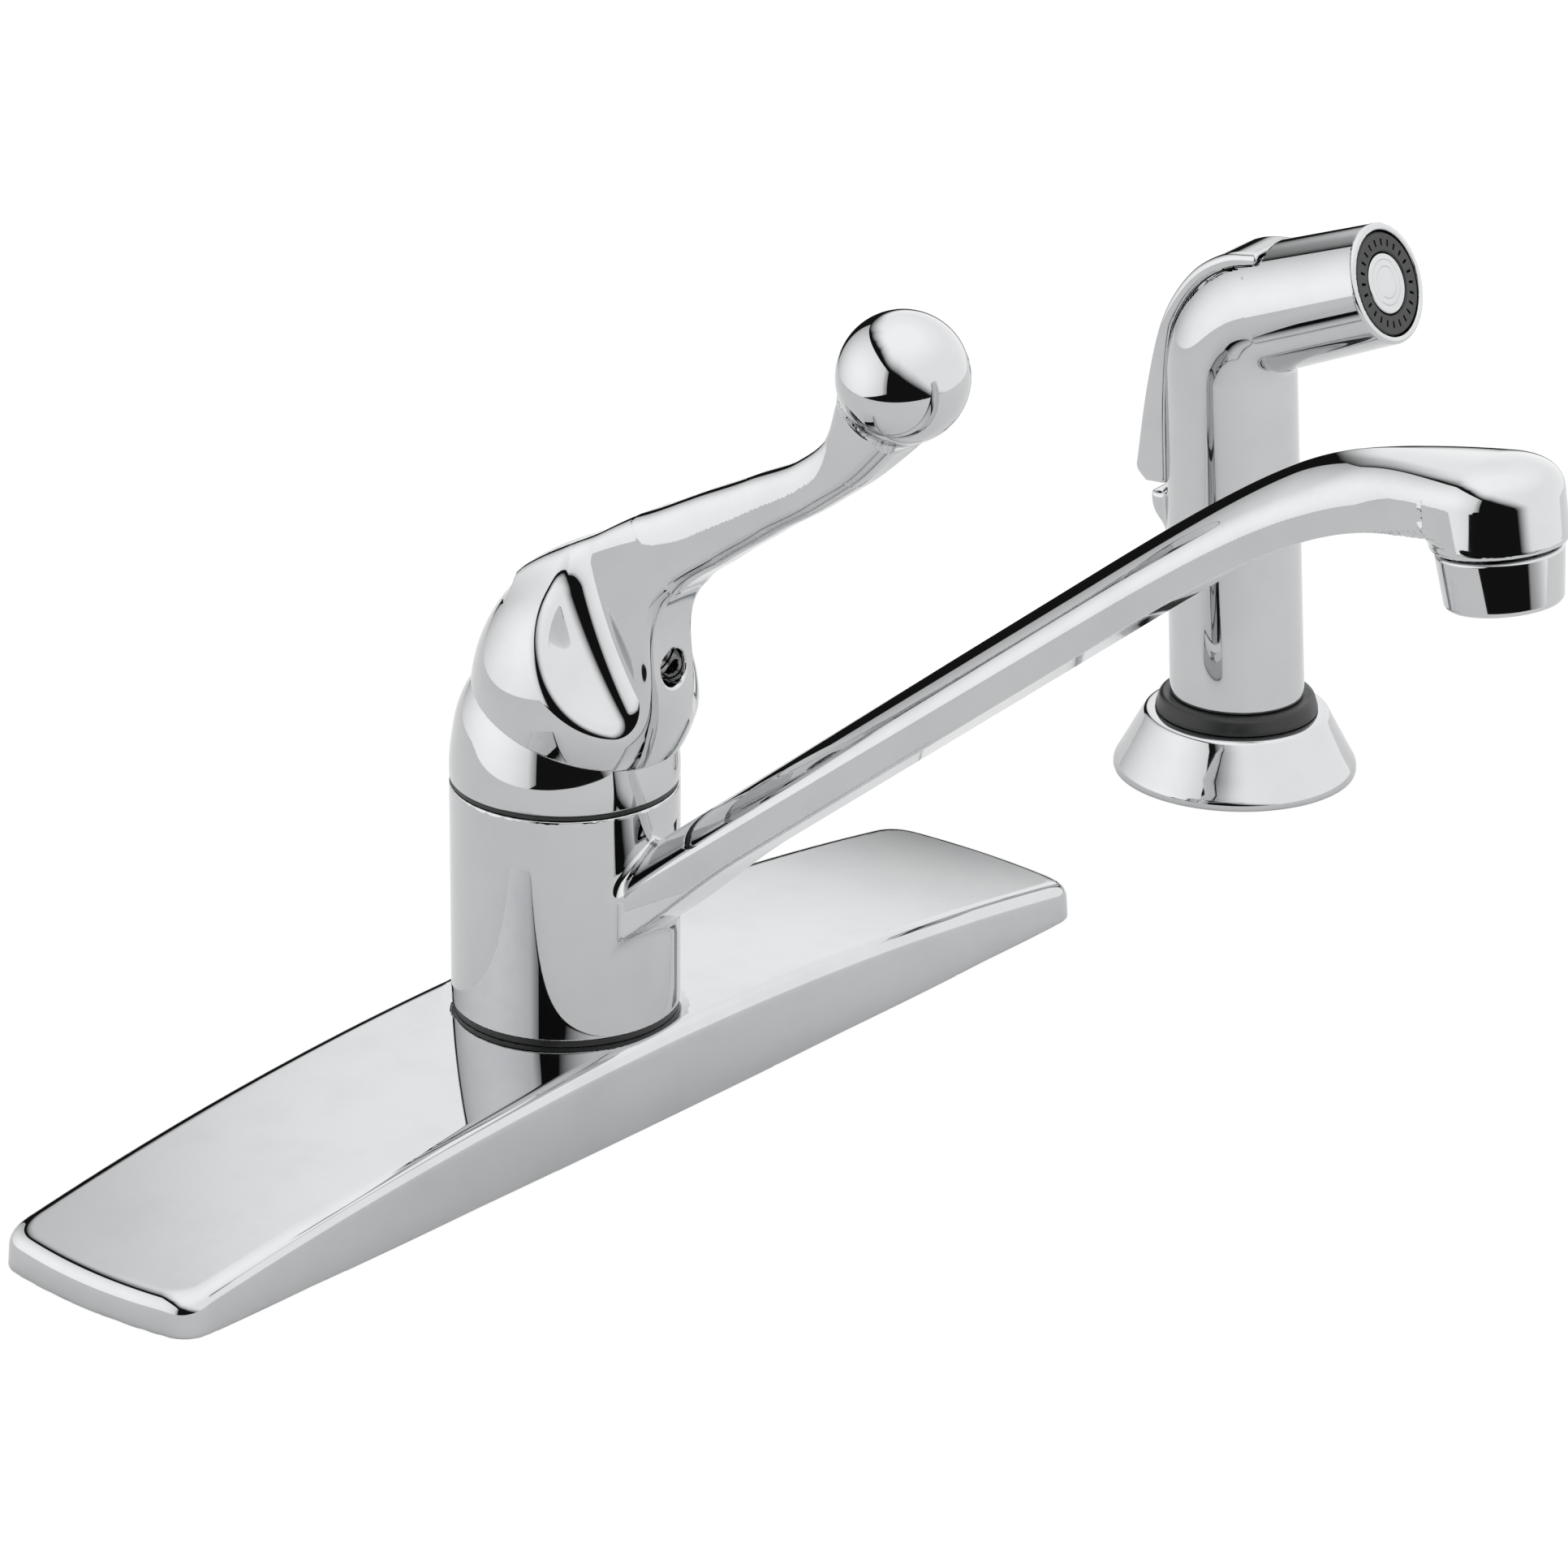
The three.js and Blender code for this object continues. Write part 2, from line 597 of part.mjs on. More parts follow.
function diverter() {
  const [stemEnd, flangeEnd, waistEnd, cupEnd, tipEnd] = [1, 2, 3, 4, 5].map((steps) => steps * diverterStep);
  const stem = turned([
    [0, 0], [diverterStemRadius, 0], [diverterStemRadius, stemEnd],
    [diverterFlangeRadius, stemEnd], [diverterFlangeRadius, flangeEnd],
    [diverterStemRadius, flangeEnd], [diverterStemRadius, waistEnd],
    [diverterRadius, waistEnd], [diverterRadius, cupEnd],
    [diverterLipRadius, cupEnd], [diverterLipRadius, tipEnd], [0, tipEnd],
  ], coarse);
  return shifted(turnedAboutX(stem, 90), 0, -diverterBack - fitGap, diverterHeight);
}

const valve = new THREE.Group();
valve.add(
  piece('valve_body', valveBody(), finishes.brass),
  piece('body_oring_lower', roundRing(orringRadius, orringSection, lowerOrringHeight), finishes.rubber),
  piece('body_oring_upper', roundRing(orringRadius, orringSection, upperOrringHeight), finishes.rubber),
  piece('lower_glide_ring', ring(barrelRadius + fitGap, hubRadius - ringInset, shoulderHeight,
    shoulderHeight + lowerRingHeight), finishes.blackPlastic),
  piece('seat_left', seat(seatPlaces[0]), finishes.rubber),
  piece('seat_right', seat(seatPlaces[1]), finishes.rubber),
  piece('seat_spring_left', seatSpring(seatPlaces[0]), finishes.steel),
  piece('seat_spring_right', seatSpring(seatPlaces[1]), finishes.steel),
  piece('diverter', diverter(), finishes.whitePlastic),
);

// ---------------------------------------------------------------------------------------------
// Cap, cam, packing and adjusting ring
// ---------------------------------------------------------------------------------------------

const openingHeight = pivotHeight + Math.sqrt(domeRadius ** 2 - capOpeningRadius ** 2);
const camRoofTop = openingHeight - adjusterHeight;
const camRoofBottom = camRoofTop - camWall;
const camHollowRadius = cupBoreRadius + camStep;

function bonnetCap() {
  const shoulder = capBottom + capCylinderHeight;
  const openingAngle = THREE.MathUtils.radToDeg(Math.asin(capOpeningRadius / domeRadius));
  const innerRadius = threadRadius + fitGap;
  return turned([
    [innerRadius, capBottom], [hubRadius, capBottom], [hubRadius, shoulder],
    ...arc(domeRadius, pivotHeight, 90, openingAngle, 6),
    [capOpeningRadius, camRoofTop], [innerRadius, camRoofTop - capWall],
  ]);
}

function cam() {
  const bottom = cupTop + seatGap;
  return turned([
    [camHollowRadius, bottom], [threadRadius, bottom], [threadRadius, camRoofTop - capWall - fitGap],
    [capOpeningRadius - capWall / 2, camRoofTop - seatGap], [adjusterBoreRadius, camRoofTop - seatGap],
    [adjusterBoreRadius, camRoofBottom], [camHollowRadius, camRoofBottom - camStep],
  ], medium);
}

function camPacking() {
  const inner = ballRadius + fitGap;
  const outer = camHollowRadius - fitGap;
  const roof = camRoofBottom - camStep - fitGap;
  return turned([
    ...arc(inner, pivotHeight, packingFrom, packingTo, 3),
    [adjusterBoreRadius, roof], [outer, roof], [outer, pivotHeight + inner * Math.cos(radians(packingFrom))],
  ], medium);
}

function adjustingRing() {
  const top = openingHeight - seatGap;
  const notch = box(
    [-adjusterNotch / 2, -capOpeningRadius, top - adjusterNotchDepth],
    [adjusterNotch / 2, capOpeningRadius, top + over]);
  return cut(ring(adjusterBoreRadius, capOpeningRadius - fitGap, camRoofTop, top, medium), notch);
}

const bonnet = new THREE.Group();
bonnet.add(
  piece('upper_glide_ring', ring(threadRadius + fitGap, hubRadius - ringInset, hubTop + seatGap,
    hubTop + seatGap + upperRingHeight), finishes.blackPlastic),
  piece('bonnet_cap', bonnetCap(), finishes.chrome),
  piece('cam', cam(), finishes.whitePlastic),
  piece('cam_packing', camPacking(), finishes.rubber),
  piece('adjusting_ring', adjustingRing(), finishes.brass),
);

// ---------------------------------------------------------------------------------------------
// Spout: hub, arm and tip in one casting, with the aerator
// ---------------------------------------------------------------------------------------------

const armDirection = (degrees) => new THREE.Vector2(Math.cos(radians(degrees)), Math.sin(radians(degrees)));

/** Centre line of the arm as [reach, height] in the spout's own plane. */
const armLine = (reach) => new THREE.Vector2(reach, armRootHeight + reach * Math.tan(radians(armRise)));
const armStart = armLine(armRootReach);
const armFlareEnd = armLine(armFlareReach);
const bendStart = armLine(armStraightReach);
const bendEnd = new THREE.Vector2(tipReach, tipHeight);
const armBend = new THREE.CubicBezierCurve(
  bendStart,
  bendStart.clone().addScaledVector(armDirection(armRise), armBendLead),
  bendEnd.clone().addScaledVector(armDirection(armTipRise), -armBendTail),
  bendEnd,
);

/** Stations along the arm: place, direction and how far the bend has gone, from 0 to 1. */
function armStations(bendSteps) {
  const direction = armDirection(armRise);
  const stations = [
    { place: armStart, direction, share: 0, flare: armRootFlare },
    { place: armFlareEnd, direction, share: 0, flare: 0 },
  ];
  for (let i = 0; i <= bendSteps; i++) {
    const share = i / bendSteps;
    stations.push({ place: armBend.getPoint(share), direction: armBend.getTangent(share), share, flare: 0 });
  }
  return stations;
}

const blend = (from, to, share) => from + (to - from) * share;

/** One ring across the arm: flat bottom and sides, sloped shoulders and a ridge on top. */
function armRing({ place, direction, share, flare }) {
  const half = blend(armHeight, armTipHeight, share) / 2;
  const width = armHalfWidth;
  const ridge = blend(armRidgeHalfWidth, armTipRidgeHalfWidth, share);
  const shoulder = half - blend(armShoulder, armShoulder / 2, share);
  const top = half + blend(armRidgeRise, 0, share);
  const bottom = -half - flare;
  const side = [
    [width - armEdgeRound, bottom], [width, bottom + armEdgeRound],
    [width, shoulder], [width - armSoftening, shoulder + armSoftening],
    [ridge + armSoftening, top - armSoftening], [ridge - armSoftening, top],
  ];
  const across = [...side, ...side.map(([x, up]) => [-x, up]).reverse()];
  return across.map(([x, up]) => new THREE.Vector3(
    x, -(place.x - up * direction.y), place.y + up * direction.x));
}

const tipFrame = new THREE.Group();
tipFrame.position.set(0, -tipReach, tipHeight);
tipFrame.rotation.x = radians(-tipLean);
tipFrame.updateMatrix();

const tipTop = armTipHeight / 2 + tipCrownRise;
const collarBottom = tipTop - tipCollarLength;

/** Rounded block over the outlet, upright in the tip's own frame. */
function tipBlock() {
  const crownRadius = tipRadius - tipCrownRound;
  const crown = arc(tipCrownRound, tipTop - tipCrownRound, 90, 0, 5).map(([r, z]) => [r + crownRadius, z]);
  return turned([
    [0, collarBottom], [tipRadius - edgeBreak, collarBottom], [tipRadius, collarBottom + edgeBreak],
    ...crown, [0, tipTop],
  ], medium);
}

/** One ring of the waterway inside the arm. */
function waterRing({ place, direction }) {
  const points = [];
  for (let i = 0; i < waterwayPoints; i++) {
    const angle = 2 * Math.PI * i / waterwayPoints;
    const up = armWaterRadius * Math.sin(angle);
    points.push(new THREE.Vector3(armWaterRadius * Math.cos(angle),
      -(place.x - up * direction.y), place.y + up * direction.x));
  }
  return points;
}

function spout() {
  const arm = loft(armStations(9).map(armRing));
  const hub = cylinder(hubRadius, hubBottom, hubTop, fine);
  const bore = cylinder(barrelRadius + fitGap, hubBottom - over, hubTop + over, fine);
  const water = loft(armStations(6).map(waterRing));
  const socketTop = collarBottom + aeratorThreadLength + washerThickness + over;
  const socket = cylinder(aeratorThreadRadius + fitGap, collarBottom - over, socketTop);
  const drop = cylinder(armWaterRadius, collarBottom, 0, coarse);
  const tip = moved(tipBlock(), tipFrame.matrix);
  const tipHollow = moved(join(socket, drop), tipFrame.matrix);
  return cut(join(hub, arm, tip), bore, water, tipHollow);
}

function aeratorShell() {
  const top = collarBottom - aeratorGroove;
  const bottom = top - aeratorLength;
  const outerBottom = aeratorRadius - aeratorTaper;
  return turned([
    [aeratorBoreRadius, bottom], [outerBottom - edgeBreak, bottom], [outerBottom, bottom + edgeBreak],
    [aeratorRadius, top], [aeratorThreadRadius, top],
    [aeratorThreadRadius, top + aeratorThreadLength], [aeratorBoreRadius, top + aeratorThreadLength],
  ], medium);
}

function aeratorInsert() {
  const bottom = collarBottom - aeratorGroove - aeratorLength + aeratorInsertSetback;
  const top = bottom + aeratorInsertHeight;
  const outer = aeratorBoreRadius - fitGap;
  const inner = outer - aeratorInsertWall;
  const disc = turned([
    [0, bottom], [outer, bottom], [outer, top], [inner, top],
    [inner, bottom + aeratorInsertFloor], [0, bottom + aeratorInsertFloor],
  ], medium);
  const holes = [];
  for (let i = 0; i < aeratorHoleCount; i++) {
    const angle = 2 * Math.PI * i / aeratorHoleCount;
    const hole = cylinder(aeratorHoleRadius, bottom - over, bottom + aeratorInsertFloor + over, 8);
    holes.push(shifted(hole, aeratorHoleCircle * Math.cos(angle), aeratorHoleCircle * Math.sin(angle), 0));
  }
  return cut(disc, ...holes);
}

function aeratorWasher() {
  const bottom = collarBottom - aeratorGroove + aeratorThreadLength + fitGap;
  return ring(aeratorBoreRadius - aeratorInsertWall, aeratorThreadRadius - fitGap,
    bottom, bottom + washerThickness, medium);
}

const spoutGroup = new THREE.Group();
tipFrame.add(
  piece('aerator_shell', aeratorShell(), finishes.chrome),
  piece('aerator_insert', aeratorInsert(), finishes.whitePlastic),
  piece('aerator_washer', aeratorWasher(), finishes.rubber),
);
spoutGroup.add(piece('spout', spout(), finishes.chrome), tipFrame);

// ---------------------------------------------------------------------------------------------
// Handle and ball, in a frame at the ball's centre
// ---------------------------------------------------------------------------------------------

/** Turns a solid that stands on the stem's axis into the handle's resting lean. */
const leaned = (body) => turnedAboutX(body, stemTilt);

function valveBall() {
  const pin = bar(pinRadius + fitGap, [-ballRadius - over, 0, 0], [ballRadius + over, 0, 0]);
  const ports = [-ballPortLean, ballPortLean].map(
    (lean) => turnedAboutY(cylinder(portRadius, -ballRadius - over, portRadius - ballRadius, coarse), lean));
  const stem = leaned(cylinder(stemRadius, ballRadius - stemRadius, stemSocketDepth - fitGap, coarse));
  return cut(join(ball(ballRadius), stem), pin, ...ports);
}

const ballPin = () => {
  const half = ballRadius + pinProtrusion;
  return bar(pinRadius, [-half, 0, 0], [half, 0, 0], 12);
};

/** Hood of the handle: an egg on the stem's axis, open at its rim. */
function hoodBlank() {
  const rimAngle = THREE.MathUtils.radToDeg(Math.acos((hoodRim - hoodCentre) / hoodHalfLength));
  const outline = arc(1, 0, rimAngle, 0, 10).map(
    ([across, along]) => [across * hoodRadius, hoodCentre + along * hoodHalfLength]);
  outline[outline.length - 1][0] = 0;
  return shifted(turned([[0, hoodRim], ...outline], fine), 0, -hoodSetForward, 0);
}

/** Wedge that is cut off each side of the hood, so that the lever's flat side shows. */
function sideFacet(side) {
  const size = 4 * hoodHalfLength;
  const block = box([-size, 0, -size], [size, size, size]);
  const inward = new THREE.Vector3(
    side * Math.sin(radians(facetSlant)),
    -Math.cos(radians(facetSlant)) * Math.cos(radians(facetRise)),
    Math.cos(radians(facetSlant)) * Math.sin(radians(facetRise)));
  const turn = new THREE.Quaternion().setFromUnitVectors(new THREE.Vector3(0, 1, 0), inward);
  const place = inward.clone().multiplyScalar(facetOffset);
  const wedge = moved(block, new THREE.Matrix4().compose(place, turn, new THREE.Vector3(1, 1, 1)));
  const low = side > 0 ? leverHalfWidth : -2 * size;
  const high = side > 0 ? 2 * size : -leverHalfWidth;
  return wedge.intersect(box([low, -2 * size, -2 * size], [high, 2 * size, 2 * size]));
}

const fromKnob = ([ahead, above]) => [knobReach + ahead, knobRise + above];
const leverStations = [...leverPlaces, ...neckPlaces.map(fromKnob)];

/** Ring across the lever at one of its sections: a rectangle with well rounded corners. */
function leverRing([ahead, above], section) {
  const points = [];
  const squared = (value) => Math.sign(value) * Math.sqrt(Math.abs(value));
  const lean = radians(leverLeans[section]);
  const [s, c] = [Math.sin(lean), Math.cos(lean)];
  for (let i = 0; i < leverPoints; i++) {
    const angle = 2 * Math.PI * (i + 0.5) / leverPoints;
    const x = leverHalfWidths[section] * squared(Math.cos(angle));
    const up = leverHalfHeights[section] * squared(Math.sin(angle));
    points.push(new THREE.Vector3(x, -(ahead - up * s), above + up * c));
  }
  return points;
}

const screwFrom = stemRadius + fitGap;

/** Moves a solid that stands on Z to the set screw's place, pointing forward and square to the stem. */
function atScrew(body) {
  return leaned(shifted(turnedAboutX(body, 90), 0, 0, screwHeight));
}

function handle() {
  const faceted = cut(leaned(hoodBlank()), sideFacet(1), sideFacet(-1));
  const lever = loft(leverStations.map(leverRing));
  const knob = shifted(ball(knobRadius), 0, -knobReach, knobRise);
  const cavity = ball(domeRadius + fitGap, fine);
  const stemBore = leaned(cylinder(stemRadius + fitGap, 0, stemSocketDepth, coarse));
  const screwHole = atScrew(cylinder(screwRadius + fitGap, 0, 2 * hoodRadius, coarse));
  return cut(join(faceted, lever, knob), cavity, stemBore, screwHole);
}

function setScrew() {
  const hexRadius = screwHexAcross / Math.sqrt(3);
  const top = screwFrom + screwLength;
  const body = turned([
    [0, screwFrom], [screwRadius - edgeBreak, screwFrom], [screwRadius, screwFrom + edgeBreak],
    [screwRadius, top], [0, top],
  ], coarse);
  return atScrew(cut(body, cylinder(hexRadius, top - screwHexDepth, top + over, 6)));
}

const handleGroup = new THREE.Group();
handleGroup.position.set(0, 0, pivotHeight);
handleGroup.add(
  piece('valve_ball', valveBall(), finishes.steel),
  piece('ball_pin', ballPin(), finishes.steel),
  piece('handle', handle(), finishes.chrome),
  piece('handle_set_screw', setScrew(), finishes.steel),
);

// ---------------------------------------------------------------------------------------------
// Spray holder
// ---------------------------------------------------------------------------------------------

function spraySupport() {
  return turned([
    [flangeBoreRadius, 0], [flangeRadius, 0], [flangeRadius, flangeRimHeight],
    ...flangeSlope, [flangeTopRadius, flangeHeight], [flangeBoreRadius, flangeHeight],
  ]);
}

const insertOuterRadius = flangeBoreRadius - fitGap;
const insertBoreRadius = insertOuterRadius - insertWall;

function supportInsert() {
  const collar = flangeHeight + seatGap;
  return turned([
    [insertBoreRadius, fitGap], [insertOuterRadius, fitGap], [insertOuterRadius, collar],
    [insertCollarRadius, collar], [insertCollarRadius, collar + edgeBreak],
    [insertOuterRadius, insertTop], [insertBoreRadius, insertTop],
  ]);
}

// ---------------------------------------------------------------------------------------------
// Sprayer, in a frame at the foot of its axis
// ---------------------------------------------------------------------------------------------

const columnBottom = insertTop + seatGap;
const headDirection = new THREE.Vector2(Math.cos(radians(headRise)), Math.sin(radians(headRise)));
const bendAngle = 90 - headRise;
const bendTangent = bendRadius * Math.tan(radians(bendAngle / 2));
const bendBottom = headHeight - bendTangent;

/** Place and direction of the sprayer's centre line, as [forward, up], at a share of its bend. */
function bendStation(share) {
  const angle = radians(bendAngle * share);
  return {
    place: new THREE.Vector2(bendRadius * (1 - Math.cos(angle)), bendBottom + bendRadius * Math.sin(angle)),
    direction: new THREE.Vector2(Math.sin(angle), Math.cos(angle)),
  };
}

/** Round ring square to the sprayer's centre line. */
function sprayRing({ place, direction }, radius, count = 24) {
  const points = [];
  for (let i = 0; i < count; i++) {
    const angle = 2 * Math.PI * (i + 0.5) / count;
    const out = radius * Math.sin(angle);
    points.push(new THREE.Vector3(
      radius * Math.cos(angle), -(place.x + out * direction.y), place.y - out * direction.x));
  }
  return points;
}

function alongHead(distance) {
  return new THREE.Vector2(0, headHeight).addScaledVector(headDirection, distance);
}

/** Rings of the sprayer's outer shape from the holder to the mouth. */
function sprayRings() {
  const upright = new THREE.Vector2(0, 1);
  const rings = [
    sprayRing({ place: new THREE.Vector2(0, columnBottom - columnFoot), direction: upright }, columnRadius),
  ];
  const steps = 6;
  for (let i = 0; i <= steps; i++) {
    const share = i / steps;
    rings.push(sprayRing(bendStation(share), blend(columnTopRadius, headRadius, share)));
  }
  rings.push(sprayRing({ place: alongHead(headReach), direction: headDirection }, headMouthRadius));
  return rings;
}

/** Moves a solid that stands on Z so that it points along the head, with its foot where the lines meet. */
function onHead(body) {
  return shifted(turnedAboutX(body, 90 - headRise), 0, 0, headHeight);
}

const triggerPivotHeight = headHeight + triggerPivotRise;
const valveHeight = triggerPivotHeight - valveDrop;

/** Turns an outline of [backward, above the pivot] into one of [backward, up]. */
const fromPivot = (points) => points.map(([back, up]) => [back, triggerPivotHeight + up]);
const triggerBack = fromPivot(triggerOutline);

/** Outline of the trigger moved inward, by a distance found from each point's arm along it from the pivot. */
function triggerInside(distanceAt) {
  return triggerBack.map(([back, up], i) => {
    const before = triggerBack[Math.max(i - 1, 0)];
    const after = triggerBack[Math.min(i + 1, triggerBack.length - 1)];
    const along = new THREE.Vector2(after[0] - before[0], after[1] - before[1]).normalize();
    const arm = (back + triggerPivotAhead) * along.x + (up - triggerPivotHeight) * along.y;
    const distance = distanceAt(arm);
    return [back + along.y * distance, up - along.x * distance];
  });
}

const asForward = (points) => points.map(([back, up]) => [-back, up]);

const cheekDepthAt = (arm) => triggerCheekDepth + Math.max(0, arm - triggerCheekFrom) * triggerCheekFlare;

/** Room in the body over a part of the trigger that is depthAt deep, with its whole travel. */
function triggerRoom(depthAt, halfWidth) {
  const travelAt = (arm) => Math.max(0, arm) * Math.tan(radians(triggerTravel));
  const inner = triggerInside((arm) => depthAt(arm) + fitGap + travelAt(arm));
  const [endBack, endUp] = inner[inner.length - 1];
  const [tipBack, tipUp] = triggerInside((arm) => depthAt(arm) + fitGap)[0];
  const front = tipBack - fitGap;
  const outside = 2 * columnRadius;
  const low = endUp - triggerThickness - triggerEndPlay;
  const outline = [
    [front, tipUp], ...inner, [endBack, low], [outside, low],
    [outside, tipUp + outside], [front, tipUp + outside],
  ];
  return sideSlab(asForward(outline), halfWidth);
}

/** Room for the trigger's back, and a slot on each side for its cheeks. */
function triggerRooms() {
  const outer = triggerHalfWidth + fitGap;
  const between = triggerHalfWidth - triggerCheekWall - fitGap;
  const slots = cut(triggerRoom(cheekDepthAt, outer), triggerRoom(cheekDepthAt, between));
  return join(triggerRoom(() => triggerThickness, outer), slots);
}

/** Bar across the sprayer at the trigger's pivot. */
function pivotBar(radius, halfLength) {
  const end = (side) => [side * halfLength, -triggerPivotAhead, triggerPivotHeight];
  return bar(radius, end(-1), end(1));
}

function trigger() {
  const [lowBack, lowUp] = triggerBack[triggerBack.length - 1];
  const lip = [lowBack - triggerThickness, lowUp - triggerThickness];
  const cheeks = triggerInside(cheekDepthAt);
  const [cheekBack] = cheeks[cheeks.length - 1];
  const under = triggerInside(() => triggerThickness);
  const [[tipBack, tipUp], [endBack]] = [under[0], under[under.length - 1]];
  const [front, low] = [tipBack - over, lip[1] - over];
  const hollow = [...under, [endBack, low], [front, low], [front, tipUp]];
  const shell = cut(
    sideSlab(asForward([...triggerBack, lip, [cheekBack, lip[1]], ...cheeks.reverse()]), triggerHalfWidth),
    sideSlab(asForward(hollow), triggerHalfWidth - triggerCheekWall));
  const web = box(
    [-triggerEarHalfWidth, -triggerPivotAhead - triggerEarRadius, triggerPivotHeight],
    [triggerEarHalfWidth, -triggerPivotAhead + triggerEarRadius, triggerPivotHeight + triggerEarHeight]);
  const ear = join(pivotBar(triggerEarRadius, triggerEarHalfWidth), web);
  return held(cut(join(shell, ear), pivotBar(triggerPinRadius + fitGap, triggerHalfWidth)));
}

const triggerPin = () => held(pivotBar(triggerPinRadius, triggerHalfWidth));

/** Bar along the valve's axis between two distances behind the column's centre line. */
const valveBar = (radius, from, to) => bar(radius, [0, from, valveHeight], [0, to, valveHeight]);

/** Moves a solid of the upright sprayer to the lean that the column has above its foot. */
function held(body) {
  return shifted(turnedAboutX(shifted(body, 0, 0, -columnBottom), -sprayLean), 0, 0, columnBottom);
}

function sprayerBody() {
  const spigotTop = columnBottom + 2 * columnFoot;
  const spigot = cylinder(spigotRadius, spigotBottom, spigotTop);
  const lug = sideSlab(asForward(fromPivot(lugOutline)), lugHalfWidth);
  const waterBore = join(
    cylinder(sprayBoreRadius, columnBottom + columnFoot, headHeight, coarse),
    onHead(cylinder(sprayBoreRadius, 0, headReach, coarse)),
  );
  const mouth = onHead(cylinder(mouthBoreRadius, headReach - mouthDepth, headReach + over));
  const earRoom = join(
    pivotBar(triggerEarRadius + fitGap, triggerEarHalfWidth + fitGap),
    box([-triggerEarHalfWidth - fitGap, -triggerPivotAhead - triggerEarRadius - fitGap, triggerPivotHeight],
      [triggerEarHalfWidth + fitGap, -triggerPivotAhead + triggerEarRadius + fitGap,
        triggerPivotHeight + columnRadius]));
  const valveHoles = join(
    valveBar(valvePocketRadius, valvePocketFloor, 2 * columnRadius),
    valveBar(valveStemRadius + fitGap, 0, valvePocketFloor + over),
    valveBar(valveHeadRadius + fitGap, -valveRoom, valveSeatPlace),
  );
  const shape = cut(join(loft(sprayRings()), lug), waterBore, mouth, triggerRooms(), earRoom,
    pivotBar(triggerPinRadius + fitGap, triggerHalfWidth + fitGap), valveHoles);
  const wide = 2 * columnRadius;
  const below = box([-wide, -wide, 0], [wide, wide, columnBottom]);
  const socketTop = spigotBottom + couplingHeight + seatGap;
  const socket = cylinder(couplingRadius + fitGap, spigotBottom - over, socketTop);
  const inlet = cylinder(sprayBoreRadius, spigotBottom, spigotTop + seatGap, coarse);
  return cut(join(cut(held(shape), below), spigot), socket, inlet);
}

function nozzleRing() {
  const top = headReach - nozzleSetback;
  const bottom = top - nozzleThickness;
  const disc = ring(nozzleScrewRadius + fitGap, mouthBoreRadius - fitGap, bottom, top, medium);
  const recess = cylinder(nozzleCentreRadius + fitGap, top - nozzleCentreThickness, top + over);
  const slots = [];
  for (let i = 0; i < nozzleSlotCount; i++) {
    const slot = box([nozzleCentreRadius, -nozzleSlotWidth / 2, top - nozzleSlotDepth],
      [nozzleCentreRadius + nozzleSlotLength, nozzleSlotWidth / 2, top + over]);
    slots.push(turnedAboutZ(slot, 360 * i / nozzleSlotCount));
  }
  return held(onHead(cut(disc, recess, ...slots)));
}

function nozzleCentre() {
  const face = headReach - nozzleSetback;
  const back = face - nozzleCentreThickness + fitGap;
  const screwEnd = face - nozzleThickness - nozzleCentreThickness;
  return held(onHead(turned([
    [0, screwEnd], [nozzleScrewRadius, screwEnd], [nozzleScrewRadius, back], [nozzleCentreRadius, back],
    [nozzleCentreRadius, face - edgeBreak / 2], [nozzleCentreRadius - edgeBreak / 2, face], [0, face],
  ], medium)));
}

/** Valve that the trigger pushes: a head inside the water bore, a stem, and a collar for the spring. */
function sprayValve() {
  const head = valveBar(valveHeadRadius, -valveHeadThickness, 0);
  const stem = valveBar(valveStemRadius, -valveHeadThickness, valveReach);
  const collarFrom = valvePocketFloor + valveSpringLength;
  return held(join(head, stem, valveBar(valveCollarRadius, collarFrom, collarFrom + valveCollarThickness)));
}

function valveSpring() {
  const radius = (valveStemRadius + valvePocketRadius) / 2;
  const wound = coil(radius, springWire, 0, valveSpringLength - 2 * fitGap, springTurns);
  return held(shifted(turnedAboutX(wound, -90), 0, valvePocketFloor + fitGap, valveHeight));
}

function valveSeal() {
  const seal = ring(valveStemRadius + fitGap, valveHeadRadius, fitGap, valveSeatPlace - fitGap, coarse);
  return held(shifted(turnedAboutX(seal, -90), 0, 0, valveHeight));
}

const couplingTop = spigotBottom + couplingHeight - washerThickness - fitGap;

function hoseCoupling() {
  const rim = spigotBottom - seatGap;
  const bottom = rim - couplingRimHeight;
  return turned([
    [couplingBoreRadius, bottom], [couplingRimRadius, bottom], [couplingRimRadius, rim],
    [couplingRadius, rim], [couplingRadius, couplingTop], [couplingBoreRadius, couplingTop],
  ], medium);
}

function hoseWasher() {
  const bottom = couplingTop + seatGap;
  return ring(couplingBoreRadius, couplingRadius - fitGap, bottom, bottom + washerThickness, medium);
}

const sprayStand = new THREE.Group();
sprayStand.position.set(sprayReach, 0, 0);
sprayStand.rotation.z = radians(sprayTurn);
const sprayer = new THREE.Group();
sprayer.add(
  piece('sprayer_body', sprayerBody(), finishes.chrome),
  piece('spray_trigger', trigger(), finishes.chrome),
  piece('trigger_pin', triggerPin(), finishes.steel),
  piece('nozzle_ring', nozzleRing(), finishes.blackPlastic),
  piece('nozzle_centre', nozzleCentre(), finishes.chrome),
  piece('spray_valve', sprayValve(), finishes.brass),
  piece('spray_valve_spring', valveSpring(), finishes.steel),
  piece('spray_valve_seal', valveSeal(), finishes.rubber),
  piece('hose_coupling', hoseCoupling(), finishes.brass),
  piece('hose_washer', hoseWasher(), finishes.rubber),
);
sprayStand.add(
  piece('spray_support', spraySupport(), finishes.chrome),
  piece('support_insert', supportInsert(), finishes.blackPlastic),
  sprayer,
);

